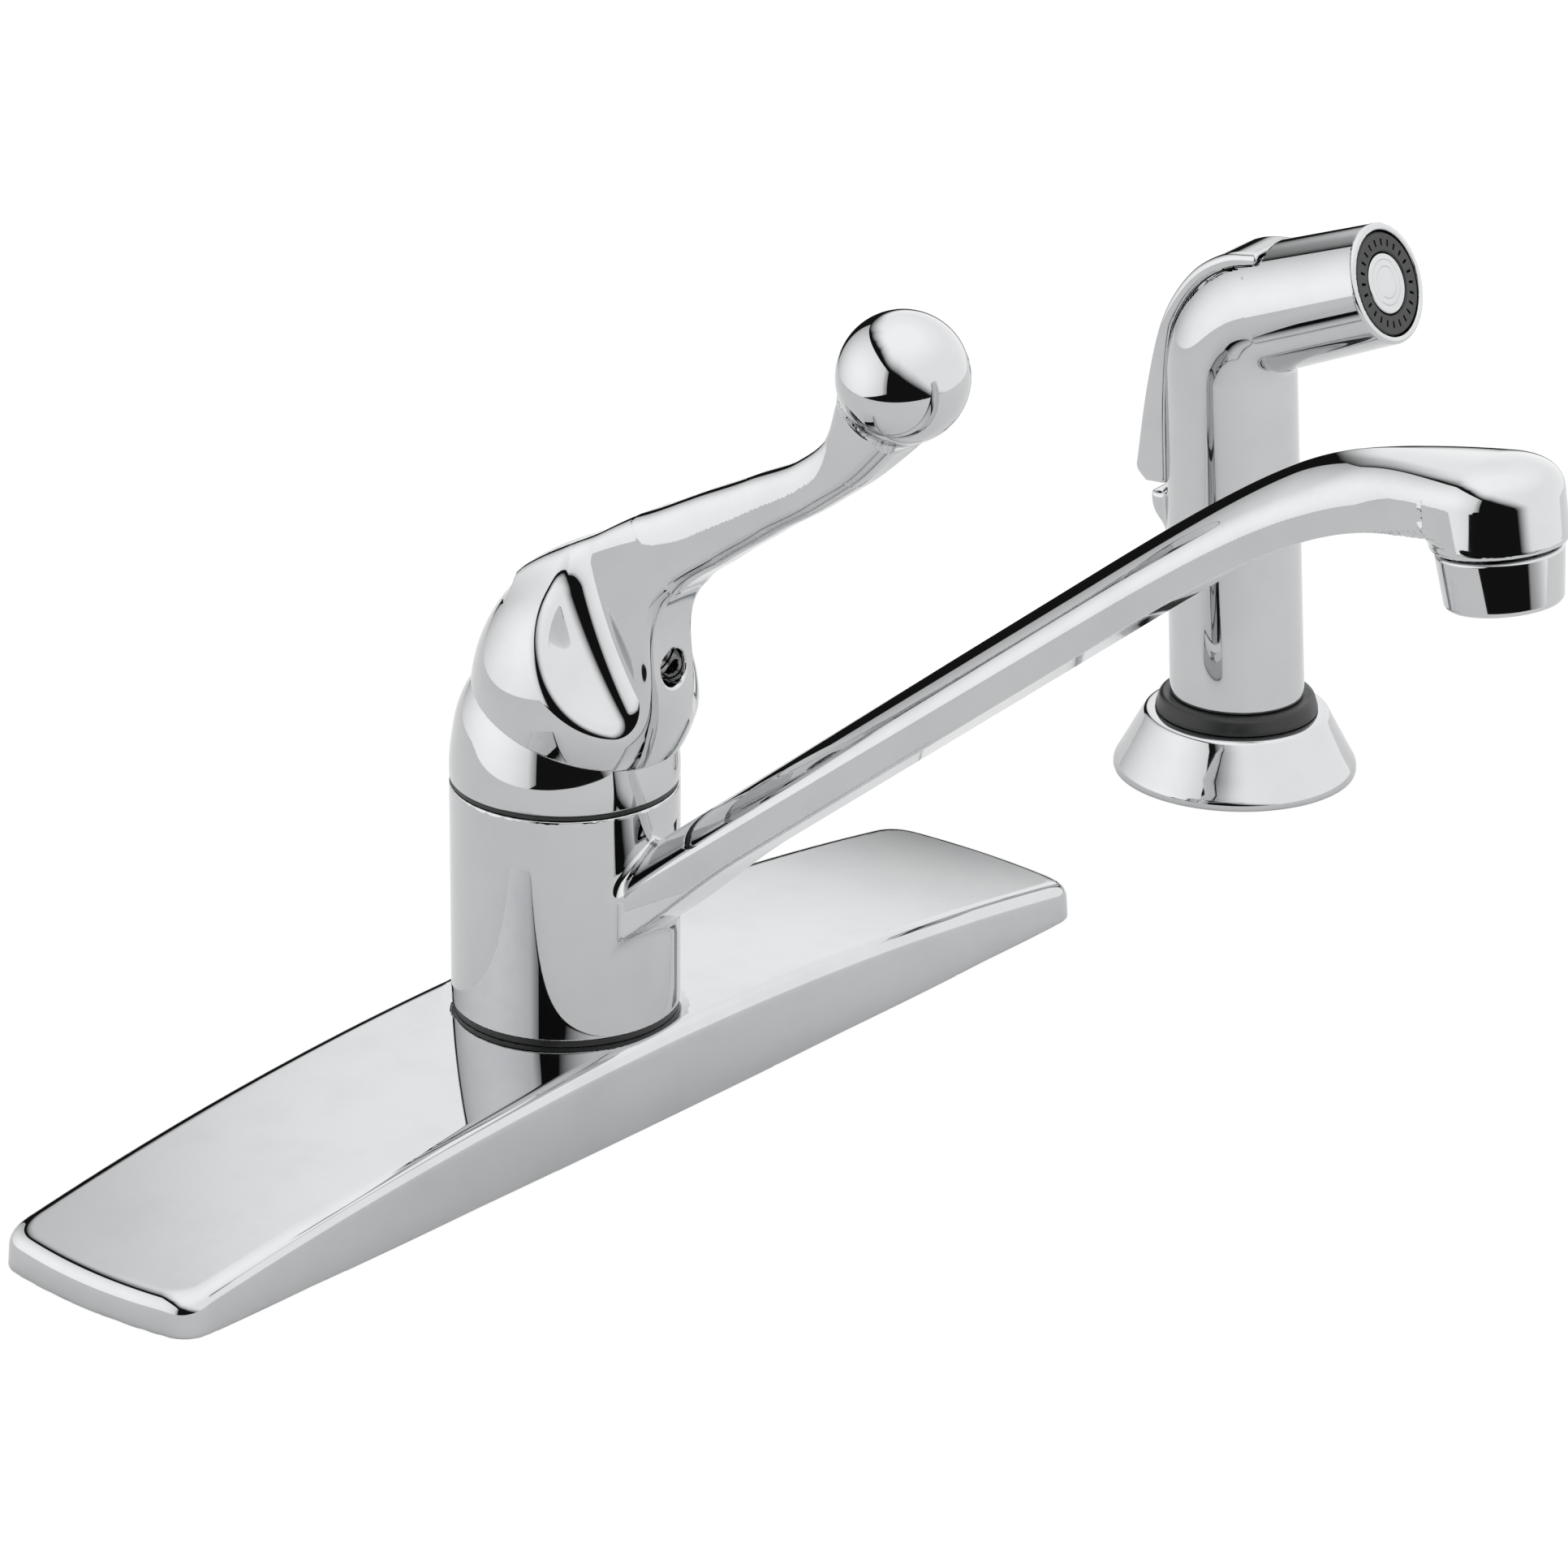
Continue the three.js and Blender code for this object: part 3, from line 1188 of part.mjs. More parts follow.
// ---------------------------------------------------------------------------------------------
// The whole faucet
// ---------------------------------------------------------------------------------------------

const faucet = new THREE.Group();
faucet.add(deck, valve, bonnet, spoutGroup, handleGroup, sprayStand);

export default faucet;
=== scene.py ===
"""Chrome kitchen faucet with a side spray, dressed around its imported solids.

Sizes are written in millimetres, in the same frame as the solids: the origin on the spout's turning axis
at the deck, the spout along -Y, the side spray along +X and +Z up. Meshes are scaled to metres at the end.
"""
from __future__ import annotations

import json
import logging
import math
from dataclasses import dataclass
from enum import Enum
from typing import Callable, Sequence

import bmesh
import bpy
import numpy as np
from mathutils import Matrix, Vector

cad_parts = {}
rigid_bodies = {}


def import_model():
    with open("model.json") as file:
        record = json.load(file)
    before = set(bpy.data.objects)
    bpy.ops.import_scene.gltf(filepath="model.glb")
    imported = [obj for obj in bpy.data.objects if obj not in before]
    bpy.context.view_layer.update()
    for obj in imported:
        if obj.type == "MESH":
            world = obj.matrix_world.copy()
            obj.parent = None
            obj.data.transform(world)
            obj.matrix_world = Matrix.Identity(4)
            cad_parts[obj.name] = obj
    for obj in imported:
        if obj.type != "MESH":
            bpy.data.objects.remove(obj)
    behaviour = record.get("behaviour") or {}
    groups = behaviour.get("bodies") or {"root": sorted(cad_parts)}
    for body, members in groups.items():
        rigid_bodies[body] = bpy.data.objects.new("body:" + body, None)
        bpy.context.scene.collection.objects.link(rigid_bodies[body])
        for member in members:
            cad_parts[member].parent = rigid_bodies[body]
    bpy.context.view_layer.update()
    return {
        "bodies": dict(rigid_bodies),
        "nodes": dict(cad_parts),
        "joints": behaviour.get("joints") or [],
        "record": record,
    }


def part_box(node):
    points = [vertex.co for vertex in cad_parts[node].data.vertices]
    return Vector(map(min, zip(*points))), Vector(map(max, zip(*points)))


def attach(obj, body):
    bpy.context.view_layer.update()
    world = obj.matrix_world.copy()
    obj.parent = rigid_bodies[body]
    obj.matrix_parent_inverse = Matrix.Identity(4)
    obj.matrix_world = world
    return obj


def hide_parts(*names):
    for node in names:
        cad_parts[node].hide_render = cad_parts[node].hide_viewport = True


LOG = logging.getLogger("faucet")
MM = 0.001
SHARP = 1e-6  # Least width of a rounding, which leaves the edge sharp.
DEEP = -50.0  # Stands for well inside.
GUESSES = 6  # First guesses on each curve of a centre line.
LEAST_BEND = 0.2  # Below this share of its usual size, a Newton step's divisor isn't trusted.
Points = np.ndarray
Field = Callable[[Points], np.ndarray]


# --- Fields: distance-like functions in millimetres, negative inside ---


def both(first: np.ndarray, second: np.ndarray, soft: float | np.ndarray = 0.0) -> np.ndarray:
    """What lies inside two fields, with the edge between them rounded.

    Args:
        first: Values of one field.
        second: Values of the other field.
        soft: Width over which the edge is rounded.

    Returns:
        Values of the shared field.
    """
    width = np.maximum(soft, SHARP)
    near = np.maximum(width - np.abs(first - second), 0) / width
    return np.maximum(first, second) + near * near * width / 4


def joined(first: np.ndarray, second: np.ndarray, soft: float | np.ndarray = 0.0) -> np.ndarray:
    """What lies inside either field, with the corner between them filled to a fillet."""
    return -both(-first, -second, soft)


def without(first: np.ndarray, second: np.ndarray, soft: float | np.ndarray = 0.0) -> np.ndarray:
    """What lies inside the first field and outside the second."""
    return both(first, -second, soft)


def turned_about(axis: str, points: Points, degrees: float) -> Points:
    """Points turned about the X or Z axis by the right-hand rule."""
    s, c = math.sin(math.radians(degrees)), math.cos(math.radians(degrees))
    x, y, z = points.T
    if axis == "X":
        return np.stack([x, c * y - s * z, s * y + c * z], axis=1)
    return np.stack([c * x - s * y, s * x + c * y, z], axis=1)


def smooth(share: np.ndarray) -> np.ndarray:
    """Share from 0 to 1, held at its ends and eased between them."""
    held = np.clip(share, 0, 1)
    return held * held * (3 - 2 * held)


def on_slope(degrees: float, reach: float = 1.0) -> np.ndarray:
    """Step forward and up, of a length, along a slope in degrees."""
    return np.array([math.cos(math.radians(degrees)), math.sin(math.radians(degrees))]) * reach


def straight_curve(start: np.ndarray, end: np.ndarray) -> list:
    """Control points of a straight stretch."""
    return [start, start + (end - start) / 3, start + (end - start) * 2 / 3, end]


def upright_rod(points: Points, radius: float, low: float, high: float, soft: float = 0.0) -> np.ndarray:
    """Field of a cylinder about the Z axis between two heights."""
    x, y, z = points.T
    return both(np.hypot(x, y) - radius, np.maximum(low - z, z - high), soft)


def block(points: Points, low: Sequence[float], high: Sequence[float]) -> np.ndarray:
    """Field of a box between two corners."""
    return np.maximum(np.array(low) - points, points - np.array(high)).max(axis=1)


def eased(values: Sequence[float], station: np.ndarray) -> np.ndarray:
    """Values given at stations 0, 1, 2..., read in between along a smooth curve.

    Args:
        values: One value for each station.
        station: Places between the first station and the last.

    Returns:
        The value at each place.
    """
    known = np.array(values, float)
    slope = np.gradient(known)
    index = np.clip(station.astype(int), 0, len(known) - 2)
    t = np.clip(station - index, 0, 1)
    a, b, m, n = known[index], known[index + 1], slope[index], slope[index + 1]
    return (a * (2 * t**3 - 3 * t**2 + 1) + b * (3 * t**2 - 2 * t**3)
            + m * (t**3 - 2 * t**2 + t) + n * (t**3 - t**2))


class CentreLine:
    """Smooth line in the side plane, as [forward, up], made of cubic curves end to end."""

    def __init__(self, curves: Sequence[Sequence[Sequence[float]]]) -> None:
        """Keeps each curve as a polynomial and samples it for a first guess."""
        p0, p1, p2, p3 = np.array(curves, float).transpose(1, 0, 2)
        self.powers = np.stack([p0, 3 * (p1 - p0), 3 * (p0 - 2 * p1 + p2), p3 - p0 + 3 * (p1 - p2)])
        self.count = len(p0)
        shares = (np.arange(GUESSES) + 0.5) / GUESSES
        self.guess_curve = np.repeat(np.arange(self.count), GUESSES)
        self.guess_share = np.tile(shares, self.count)
        a, b, c, d = self.powers[:, self.guess_curve]
        t = self.guess_share[:, None]
        self.guess_place = ((d * t + c) * t + b) * t + a

    def nearest(self, points: Points) -> tuple[np.ndarray, np.ndarray, np.ndarray]:
        """Finds where each point lies along the line.

        Args:
            points: Points whose -y is forward and z is up.

        Returns:
            Station along the line, height above the line square to it, and how far the point lies
            beyond the line's ends.
        """
        ahead, above = -points[:, 1], points[:, 2]
        closeness = np.stack([ahead, above], axis=1) @ self.guess_place.T
        best = (closeness - (self.guess_place**2).sum(axis=1) / 2).argmax(axis=1)
        curve, t = self.guess_curve[best], self.guess_share[best]
        (ax, bx, cx, dx), (ay, by, cy, dy) = (self.powers[:, :, axis][:, curve] for axis in (0, 1))
        for refining in (True, True, True, False):
            off_x = ((dx * t + cx) * t + bx) * t + ax - ahead
            off_y = ((dy * t + cy) * t + by) * t + ay - above
            go_x, go_y = (3 * dx * t + 2 * cx) * t + bx, (3 * dy * t + 2 * cy) * t + by
            speed = go_x**2 + go_y**2
            if refining:
                bend = speed + off_x * (6 * dx * t + 2 * cx) + off_y * (6 * dy * t + 2 * cy)
                safe = np.where(bend > LEAST_BEND * speed, bend, speed)
                t = np.clip(t - (off_x * go_x + off_y * go_y) / safe, 0, 1)
        speed = np.sqrt(speed)
        up = (go_y * off_x - go_x * off_y) / speed
        station = curve + t
        at_end = (station <= 0) | (station >= self.count)
        beyond = np.where(at_end, np.abs(go_x * off_x + go_y * off_y) / speed, DEEP)
        return station, up, beyond


def smooth_curve(start: Sequence[float], end: Sequence[float], rise_from: float, rise_to: float) -> list:
    """Control points of one cubic curve between two places, given the rise in degrees at each."""
    a, b = np.array(start, float), np.array(end, float)
    third = np.linalg.norm(b - a) / 3
    out, back = (on_slope(rise, third) for rise in (rise_from, rise_to))
    return [a, a + out, b - back, b]


# --- Mesh helpers ---


def object_from(name: str, mesh: bmesh.types.BMesh) -> bpy.types.Object:
    """Makes a smooth-shaded object at the origin from a mesh in millimetres and frees the mesh."""
    bmesh.ops.scale(mesh, vec=(MM, MM, MM), verts=mesh.verts)
    data = bpy.data.meshes.new(name)
    mesh.to_mesh(data)
    mesh.free()
    data.shade_smooth()
    made = bpy.data.objects.new(name, data)
    bpy.context.scene.collection.objects.link(made)
    return made


def slope_of(field: Field, points: Points, here: np.ndarray, step: float = 0.01) -> np.ndarray:
    """Gradient of a field at each point, given the field's values there."""
    return np.stack([(field(points + shift) - here) / step for shift in np.eye(3) * step], axis=1)


def settle(field: Field, points: Points, rounds: int, reach: float) -> Points:
    """Moves points onto the surface of a field.

    Args:
        field: Field whose zero is the surface.
        points: Points near the surface.
        rounds: Number of steps.
        reach: Longest step.

    Returns:
        The moved points.
    """
    for _ in range(rounds):
        value = field(points)
        gradient = slope_of(field, points, value)
        size = np.maximum((gradient**2).sum(axis=1), 0.04)
        step = gradient * (value / size)[:, None]
        length = np.linalg.norm(step, axis=1)[:, None]
        points = points - step * np.minimum(1, reach / np.maximum(length, 1e-9))
    return points


def cast(name: str, node: str, field: Field, grain: float) -> bpy.types.Object:
    """Forms a smooth casting: the solid's own skin, divided finely and moved onto a field.

    Args:
        name: Name of the new piece.
        node: Node of the frame that it stands for.
        field: Shape of the casting.
        grain: Size of the faces in millimetres.

    Returns:
        The new piece.
    """
    source = bpy.data.objects[node]
    data = source.data.copy()
    rough = bpy.data.objects.new(name, data)
    bpy.context.scene.collection.objects.link(rough)
    bm = bmesh.new()
    bm.from_mesh(data)
    bmesh.ops.remove_doubles(bm, verts=bm.verts, dist=1e-6)
    bm.to_mesh(data)
    bm.free()
    remesh = rough.modifiers.new("skin", "REMESH")
    remesh.mode = "VOXEL"
    remesh.voxel_size = grain * MM * 1
    graph = bpy.context.evaluated_depsgraph_get()
    fine = bpy.data.meshes.new_from_object(rough.evaluated_get(graph), depsgraph=graph)
    rough.modifiers.clear()
    rough.data = fine
    bpy.data.meshes.remove(data)
    fine.name = name
    fine.materials.clear()
    count = len(fine.vertices)
    flat = np.empty(3 * count)
    fine.vertices.foreach_get("co", flat)
    points = flat.reshape(-1, 3) / MM
    edges = np.empty(2 * len(fine.edges), int)
    fine.edges.foreach_get("vertices", edges)
    edges = edges.reshape(-1, 2)
    degree = np.bincount(edges.ravel(), minlength=count)[:, None]
    points = settle(field, points, 3, grain)
    for _ in range(3):
        middle = np.zeros_like(points)
        for axis in range(3):
            middle[:, axis] = (np.bincount(edges[:, 0], points[edges[:, 1], axis], count)
                               + np.bincount(edges[:, 1], points[edges[:, 0], axis], count))
        points = settle(field, 0.5 * points + 0.5 * middle / degree, 1, grain)
    points = settle(field, points, 2, grain)
    fine.vertices.foreach_set("co", (points * MM).ravel())
    fine.update()
    fine.shade_smooth()
    normals = slope_of(field, points, field(points))
    normals /= np.maximum(np.linalg.norm(normals, axis=1), 1e-9)[:, None]
    fine.normals_split_custom_set_from_vertices(normals)
    return rough


def softened(profile: Sequence[tuple[float, float]], radius: float, steps: int = 4) -> list[tuple[float, float]]:
    """Rounds the inner corners of an open profile.

    Args:
        profile: Corners as [radius, height].
        radius: Rounding radius, made smaller where a side is short.
        steps: Number of sides of each rounding.

    Returns:
        The profile with rounded corners.
    """
    points = [np.array(p, float) for p in profile]
    result = [tuple(points[0])]
    for before, here, after in zip(points, points[1:], points[2:]):
        back, ahead = before - here, after - here
        reach = min(radius, np.linalg.norm(back) * 0.45, np.linalg.norm(ahead) * 0.45)
        start = here + back / np.linalg.norm(back) * reach
        end = here + ahead / np.linalg.norm(ahead) * reach
        for i in range(steps + 1):
            t = i / steps
            result.append(tuple((1 - t)**2 * start + 2 * t * (1 - t) * here + t * t * end))
    result.append(tuple(points[-1]))
    return result


def turned(profile: Sequence[tuple[float, float]], segments: int = 96, closed: bool = True) -> bmesh.types.BMesh:
    """Turns a profile once round the Z axis.

    Args:
        profile: Points as [radius, height] in millimetres.
        segments: Number of steps round the axis.
        closed: Whether the last point joins the first.

    Returns:
        The turned mesh with its faces outwards.
    """
    mesh = bmesh.new()
    verts = [mesh.verts.new((radius, 0.0, height)) for radius, height in profile]
    edges = [mesh.edges.new(pair) for pair in zip(verts, verts[1:])]
    if closed:
        edges.append(mesh.edges.new((verts[-1], verts[0])))
    bmesh.ops.spin(mesh, geom=verts + edges, cent=(0, 0, 0), axis=(0, 0, 1), angle=2 * math.pi,
                   steps=segments, use_merge=True)
    bmesh.ops.remove_doubles(mesh, verts=mesh.verts, dist=1e-4)
    bmesh.ops.recalc_face_normals(mesh, faces=mesh.faces)
    return mesh


def keep_flats_flat(piece: bpy.types.Object) -> None:
    """Lets large faces set the shading, so that flats stay flat beside roundings."""
    modifier = piece.modifiers.new("flats", "WEIGHTED_NORMAL")
    modifier.mode = "FACE_AREA"
    modifier.weight = 50
    modifier.keep_sharp = False


# --- Finishes ---


def linear(colour: str) -> tuple[float, float, float, float]:
    """Turns an sRGB hex colour to linear red, green, blue and alpha."""
    values = [int(colour[i:i + 2], 16) / 255 for i in (1, 3, 5)]
    red, green, blue = (v / 12.92 if v <= 0.04045 else ((v + 0.055) / 1.055)**2.4 for v in values)
    return red, green, blue, 1.0


class Metalness(Enum):
    """Whether a surface is metal."""

    METAL = 1.0
    NOT_METAL = 0.0


def add_node(tree: bpy.types.NodeTree, kind: str, settings: dict | None = None,
             links: dict | None = None) -> bpy.types.Node:
    """Adds a node to a tree.

    Args:
        tree: Tree that gets the node.
        kind: Blender's name of the node type.
        settings: Attributes of the node, or values of its inputs by name or number.
        links: Output sockets to join to its inputs, by name or number.

    Returns:
        The new node.
    """
    node = tree.nodes.new(kind)
    for key, value in (settings or {}).items():
        if isinstance(key, str) and hasattr(node, key):
            setattr(node, key, value)
        else:
            node.inputs[key].default_value = value
    for key, socket in (links or {}).items():
        tree.links.new(socket, node.inputs[key])
    return node


def empty_tree(kind: bpy.types.bpy_prop_collection, name: str) -> tuple[bpy.types.ID, bpy.types.NodeTree]:
    """Makes a material or world of a name, and gives it with its cleared node tree."""
    made = kind.new(name)
    made.use_nodes = True
    made.node_tree.nodes.clear()
    return made, made.node_tree


@dataclass(frozen=True)
class Finish:
    """A surface with fine variation of its colour, gloss and relief.

    Attributes:
        name: What the material is and how it was made.
        colour: Main colour as sRGB hex.
        worn: Colour of its slight stains or wear, as sRGB hex.
        metal: Whether it is metal.
        gloss: Lowest and highest roughness.
        patch_mm: Size of the patches in which the gloss varies.
        grain_mm: Size of the finest relief.
        relief_mm: Depth of that relief.
        ior: Refractive index, for what isn't metal.
    """

    name: str
    colour: str
    worn: str
    metal: Metalness
    gloss: tuple[float, float]
    patch_mm: float
    grain_mm: float
    relief_mm: float
    ior: float = 1.5

    def material(self) -> bpy.types.Material:
        """Builds the node material."""
        material, tree = empty_tree(bpy.data.materials, self.name)
        place = add_node(tree, "ShaderNodeTexCoord").outputs["Object"]
        patches = add_node(tree, "ShaderNodeTexNoise",
                           {"Scale": 1 / (self.patch_mm * MM), "Detail": 4.0, "Roughness": 0.6},
                           {"Vector": place})
        grain = add_node(tree, "ShaderNodeTexNoise",
                         {"Scale": 1 / (self.grain_mm * MM), "Detail": 2.0}, {"Vector": place})
        stain = add_node(tree, "ShaderNodeMapRange", {"From Min": 0.45, "From Max": 0.8},
                         {"Value": patches.outputs["Fac"]})
        tint = add_node(tree, "ShaderNodeMix", {"data_type": "RGBA", 6: linear(self.colour), 7: linear(self.worn)},
                        {0: stain.outputs["Result"]})
        rough = add_node(tree, "ShaderNodeMapRange",
                         {"From Min": 0.3, "From Max": 0.7, "To Min": self.gloss[0], "To Max": self.gloss[1]},
                         {"Value": patches.outputs["Fac"]})
        bump = add_node(tree, "ShaderNodeBump", {"Strength": 1.0, "Distance": self.relief_mm * MM},
                        {"Height": grain.outputs["Fac"]})
        shader = add_node(tree, "ShaderNodeBsdfPrincipled", {"Metallic": self.metal.value},
                          {"Base Color": tint.outputs[2], "Roughness": rough.outputs["Result"],
                           "Normal": bump.outputs["Normal"]})
        if self.metal is Metalness.NOT_METAL:
            shader.inputs["IOR"].default_value = self.ior
        add_node(tree, "ShaderNodeOutputMaterial", None, {"Surface": shader.outputs["BSDF"]})
        return material


# Bright chromium plating over polished castings: a mirror, with the faintest haze of wiping.
CHROME = Finish("chromium_plate", "#c6c7c8", "#bfc1c3", Metalness.METAL, (0.015, 0.04), 14, 0.9, 0.00004)
# Machined yellow brass, dull beside the chrome.
BRASS = Finish("machined_brass", "#c9a765", "#a9854a", Metalness.METAL, (0.22, 0.4), 6, 0.25, 0.004)
# Drawn stainless steel of pins, springs and the screw.
STEEL = Finish("drawn_stainless_steel", "#b9b8b4", "#a3a19c", Metalness.METAL, (0.18, 0.34), 4, 0.2, 0.002)
# Nitrile rubber of seals: soft black with a dusty bloom.
RUBBER = Finish("moulded_nitrile_rubber", "#1d1d1e", "#2b2b2b", Metalness.NOT_METAL, (0.6, 0.8), 5, 0.3, 0.01, 1.52)
# Black acetal of the glide rings, insert and nozzle: slightly waxy.
ACETAL = Finish("moulded_black_acetal", "#1b1c1d", "#292a2b", Metalness.NOT_METAL, (0.3, 0.48), 5, 0.35, 0.006, 1.48)
# White acetal of the inner pieces and the aerator's insert.
WHITE_ACETAL = Finish("moulded_white_acetal", "#e2e0da", "#d2d0c8", Metalness.NOT_METAL, (0.35, 0.5), 6, 0.35,
                      0.006, 1.48)

FINISH_OF_SLOT = {
    "chrome": CHROME,
    "brass": BRASS,
    "steel": STEEL,
    "rubber": RUBBER,
    "black_plastic": ACETAL,
    "white_plastic": WHITE_ACETAL,
}


class Workshop:
    """Keeps the built materials and hands pieces their finish, body and slot."""

    def __init__(self, frame: dict) -> None:
        """Builds each finish once."""
        self.frame = frame
        self.materials = {slot: finish.material() for slot, finish in FINISH_OF_SLOT.items()}

    def dress(self, piece: bpy.types.Object, slot: str, body: str, *nodes: str) -> bpy.types.Object:
        """Gives a new piece its finish and body, and hides the nodes that it stands for."""
        piece.data.materials.clear()
        piece.data.materials.append(self.materials[slot])
        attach(piece, body)
        if nodes:
            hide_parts(*nodes)
        LOG.info("%s: %d faces, rides on %s", piece.name, len(piece.data.polygons), body)
        return piece

    def dress_nodes(self) -> None:
        """Gives every node of the frame its finish."""
        for row in self.frame["record"]["subparts"]:
            data = self.frame["nodes"][row["node"]].data
            data.materials.clear()
            data.materials.append(self.materials[row["material_slot"]])


# --- Deck plate ---


@dataclass
class DeckPlate:
    """Long crowned plate that covers the sink's holes."""

    length: float = 243.2
    width: float = 46.8
    end_bow: float = 2.5
    side_bow: float = 1.5
    end_height: float = 7.0
    crown_height: float = 16.5
    wall: float = 2.2
    corner: float = 5.2
    edge_round: float = 3.2
    draft: float = 0.8
    neck_radius: float = 15.0
    seat_radius: float = 20.9
    seat_depth: float = 0.3
    seat_slope: float = 0.1
    collar_radius: float = 20.1
    boss_radius: float = 8.0
    boss_reach: float = 101.6
    stud_radius: float = 4.5
    stud_depth: float = 4.2
    gasket_height: float = 1.55
    crown_steepness: float = 1.01

    def crown(self, x: np.ndarray) -> np.ndarray:
        """Height of the crown along the plate."""
        return self.end_height + (self.crown_height - self.end_height) * (1 - (2 * x / self.length)**2)

    def outline(self, x: np.ndarray, y: np.ndarray) -> np.ndarray:
        """Distance outside the plate's plan outline."""
        half_length, half_width = self.length / 2, self.width / 2
        end = np.abs(x) - half_length - self.end_bow * (1 - np.minimum(np.abs(y) / half_width, 1.1)**2)
        side = np.abs(y) - half_width - self.side_bow * (1 - np.minimum(np.abs(x) / half_length, 1.1)**2)
        return both(end, side, self.corner)

    def field(self, points: Points) -> np.ndarray:
        """Shape of the plate."""
        x, y, z = points.T
        plan = self.outline(x, y)
        out = np.hypot(x, y)
        seat = self.crown_height - self.seat_depth + np.maximum(out - self.seat_radius, 0) * self.seat_slope
        top = (z - np.minimum(self.crown(x), seat)) / self.crown_steepness
        lean = self.draft * z / self.crown_height
        shell = both(plan + lean, top, self.edge_round)
        hollow = both(plan + lean + self.wall, top + self.wall, 2.0)
        collar = np.maximum(out - self.collar_radius, self.gasket_height - z)
        boss = np.hypot(np.abs(x) - self.boss_reach, y) - self.boss_radius
        hollow = without(hollow, joined(collar, boss), 0.6)
        body = without(shell, hollow, 0.3)
        body = both(body, -z, 0.5)
        body = without(body, out - self.neck_radius, 0.3)
        stud = np.maximum(boss + self.boss_radius - self.stud_radius, z - self.stud_depth)
        return without(body, stud, 0.3)

    def build(self, shop: Workshop) -> None:
        """Makes the plate."""
        shop.dress(cast("plate_shell", "deck_plate", self.field, 0.62), "chrome", "base", "deck_plate")


# --- Cap and glide rings ---


@dataclass
class Bonnet:
    """Domed cap on the valve, and the dark rings above and below the hub."""

    radius: float = 21.0
    bottom: float = 61.4
    pivot: float = 68.5
    dome_radius: float = 20.3
    dome_from: float = 10.5
    opening_radius: float = 15.0
    inner_radius: float = 16.7
    roof: float = 80.38
    wall: float = 2.2
    ring_radius: float = 20.75
    ring_bore: float = 18.2

    def shoulder(self, steps: int = 10) -> list[tuple[float, float]]:
        """Profile of the bend from the straight wall into the dome."""
        start = np.array([self.radius, self.bottom + 2.1])
        lift = math.radians(self.dome_from)
        end = np.array([self.dome_radius * math.cos(lift), self.pivot + self.dome_radius * math.sin(lift)])
        corner = np.array([self.radius, end[1] - (self.radius - end[0]) / math.tan(lift)])
        shares = (i / steps for i in range(steps))
        return [tuple((1 - t)**2 * start + 2 * t * (1 - t) * corner + t * t * end) for t in shares]

    def dome(self, steps: int = 12) -> list[tuple[float, float]]:
        """Profile of the dome up to its opening."""
        first = math.radians(self.dome_from)
        last = math.acos(self.opening_radius / self.dome_radius)
        lifts = (first + (last - first) * i / steps for i in range(steps + 1))
        return [(self.dome_radius * math.cos(a), self.pivot + self.dome_radius * math.sin(a)) for a in lifts]

    def build(self, shop: Workshop) -> None:
        """Makes the cap and both rings."""
        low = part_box("bonnet_cap")[0].z / MM
        profile = [(self.inner_radius, low), (self.radius - 0.4, low), (self.radius - 0.12, low + 0.12),
                   (self.radius, low + 0.4)]
        profile += self.shoulder() + self.dome()
        profile += [(self.opening_radius, self.roof), (self.inner_radius, self.roof - self.wall)]
        cap = object_from("cap_shell", turned(profile, 128))
        keep_flats_flat(cap)
        shop.dress(cap, "chrome", "base", "bonnet_cap")
        for node, inner in (("lower_glide_ring", self.ring_bore), ("upper_glide_ring", self.inner_radius)):
            low, high = (corner.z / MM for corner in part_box(node))
            ring = softened([(inner, low), (self.ring_radius, low), (self.ring_radius, high), (inner, high)], 0.2)
            made = object_from(node + "_turned", turned(ring, 128))
            keep_flats_flat(made)
            shop.dress(made, "black_plastic", "base", node)


# --- Spout ---


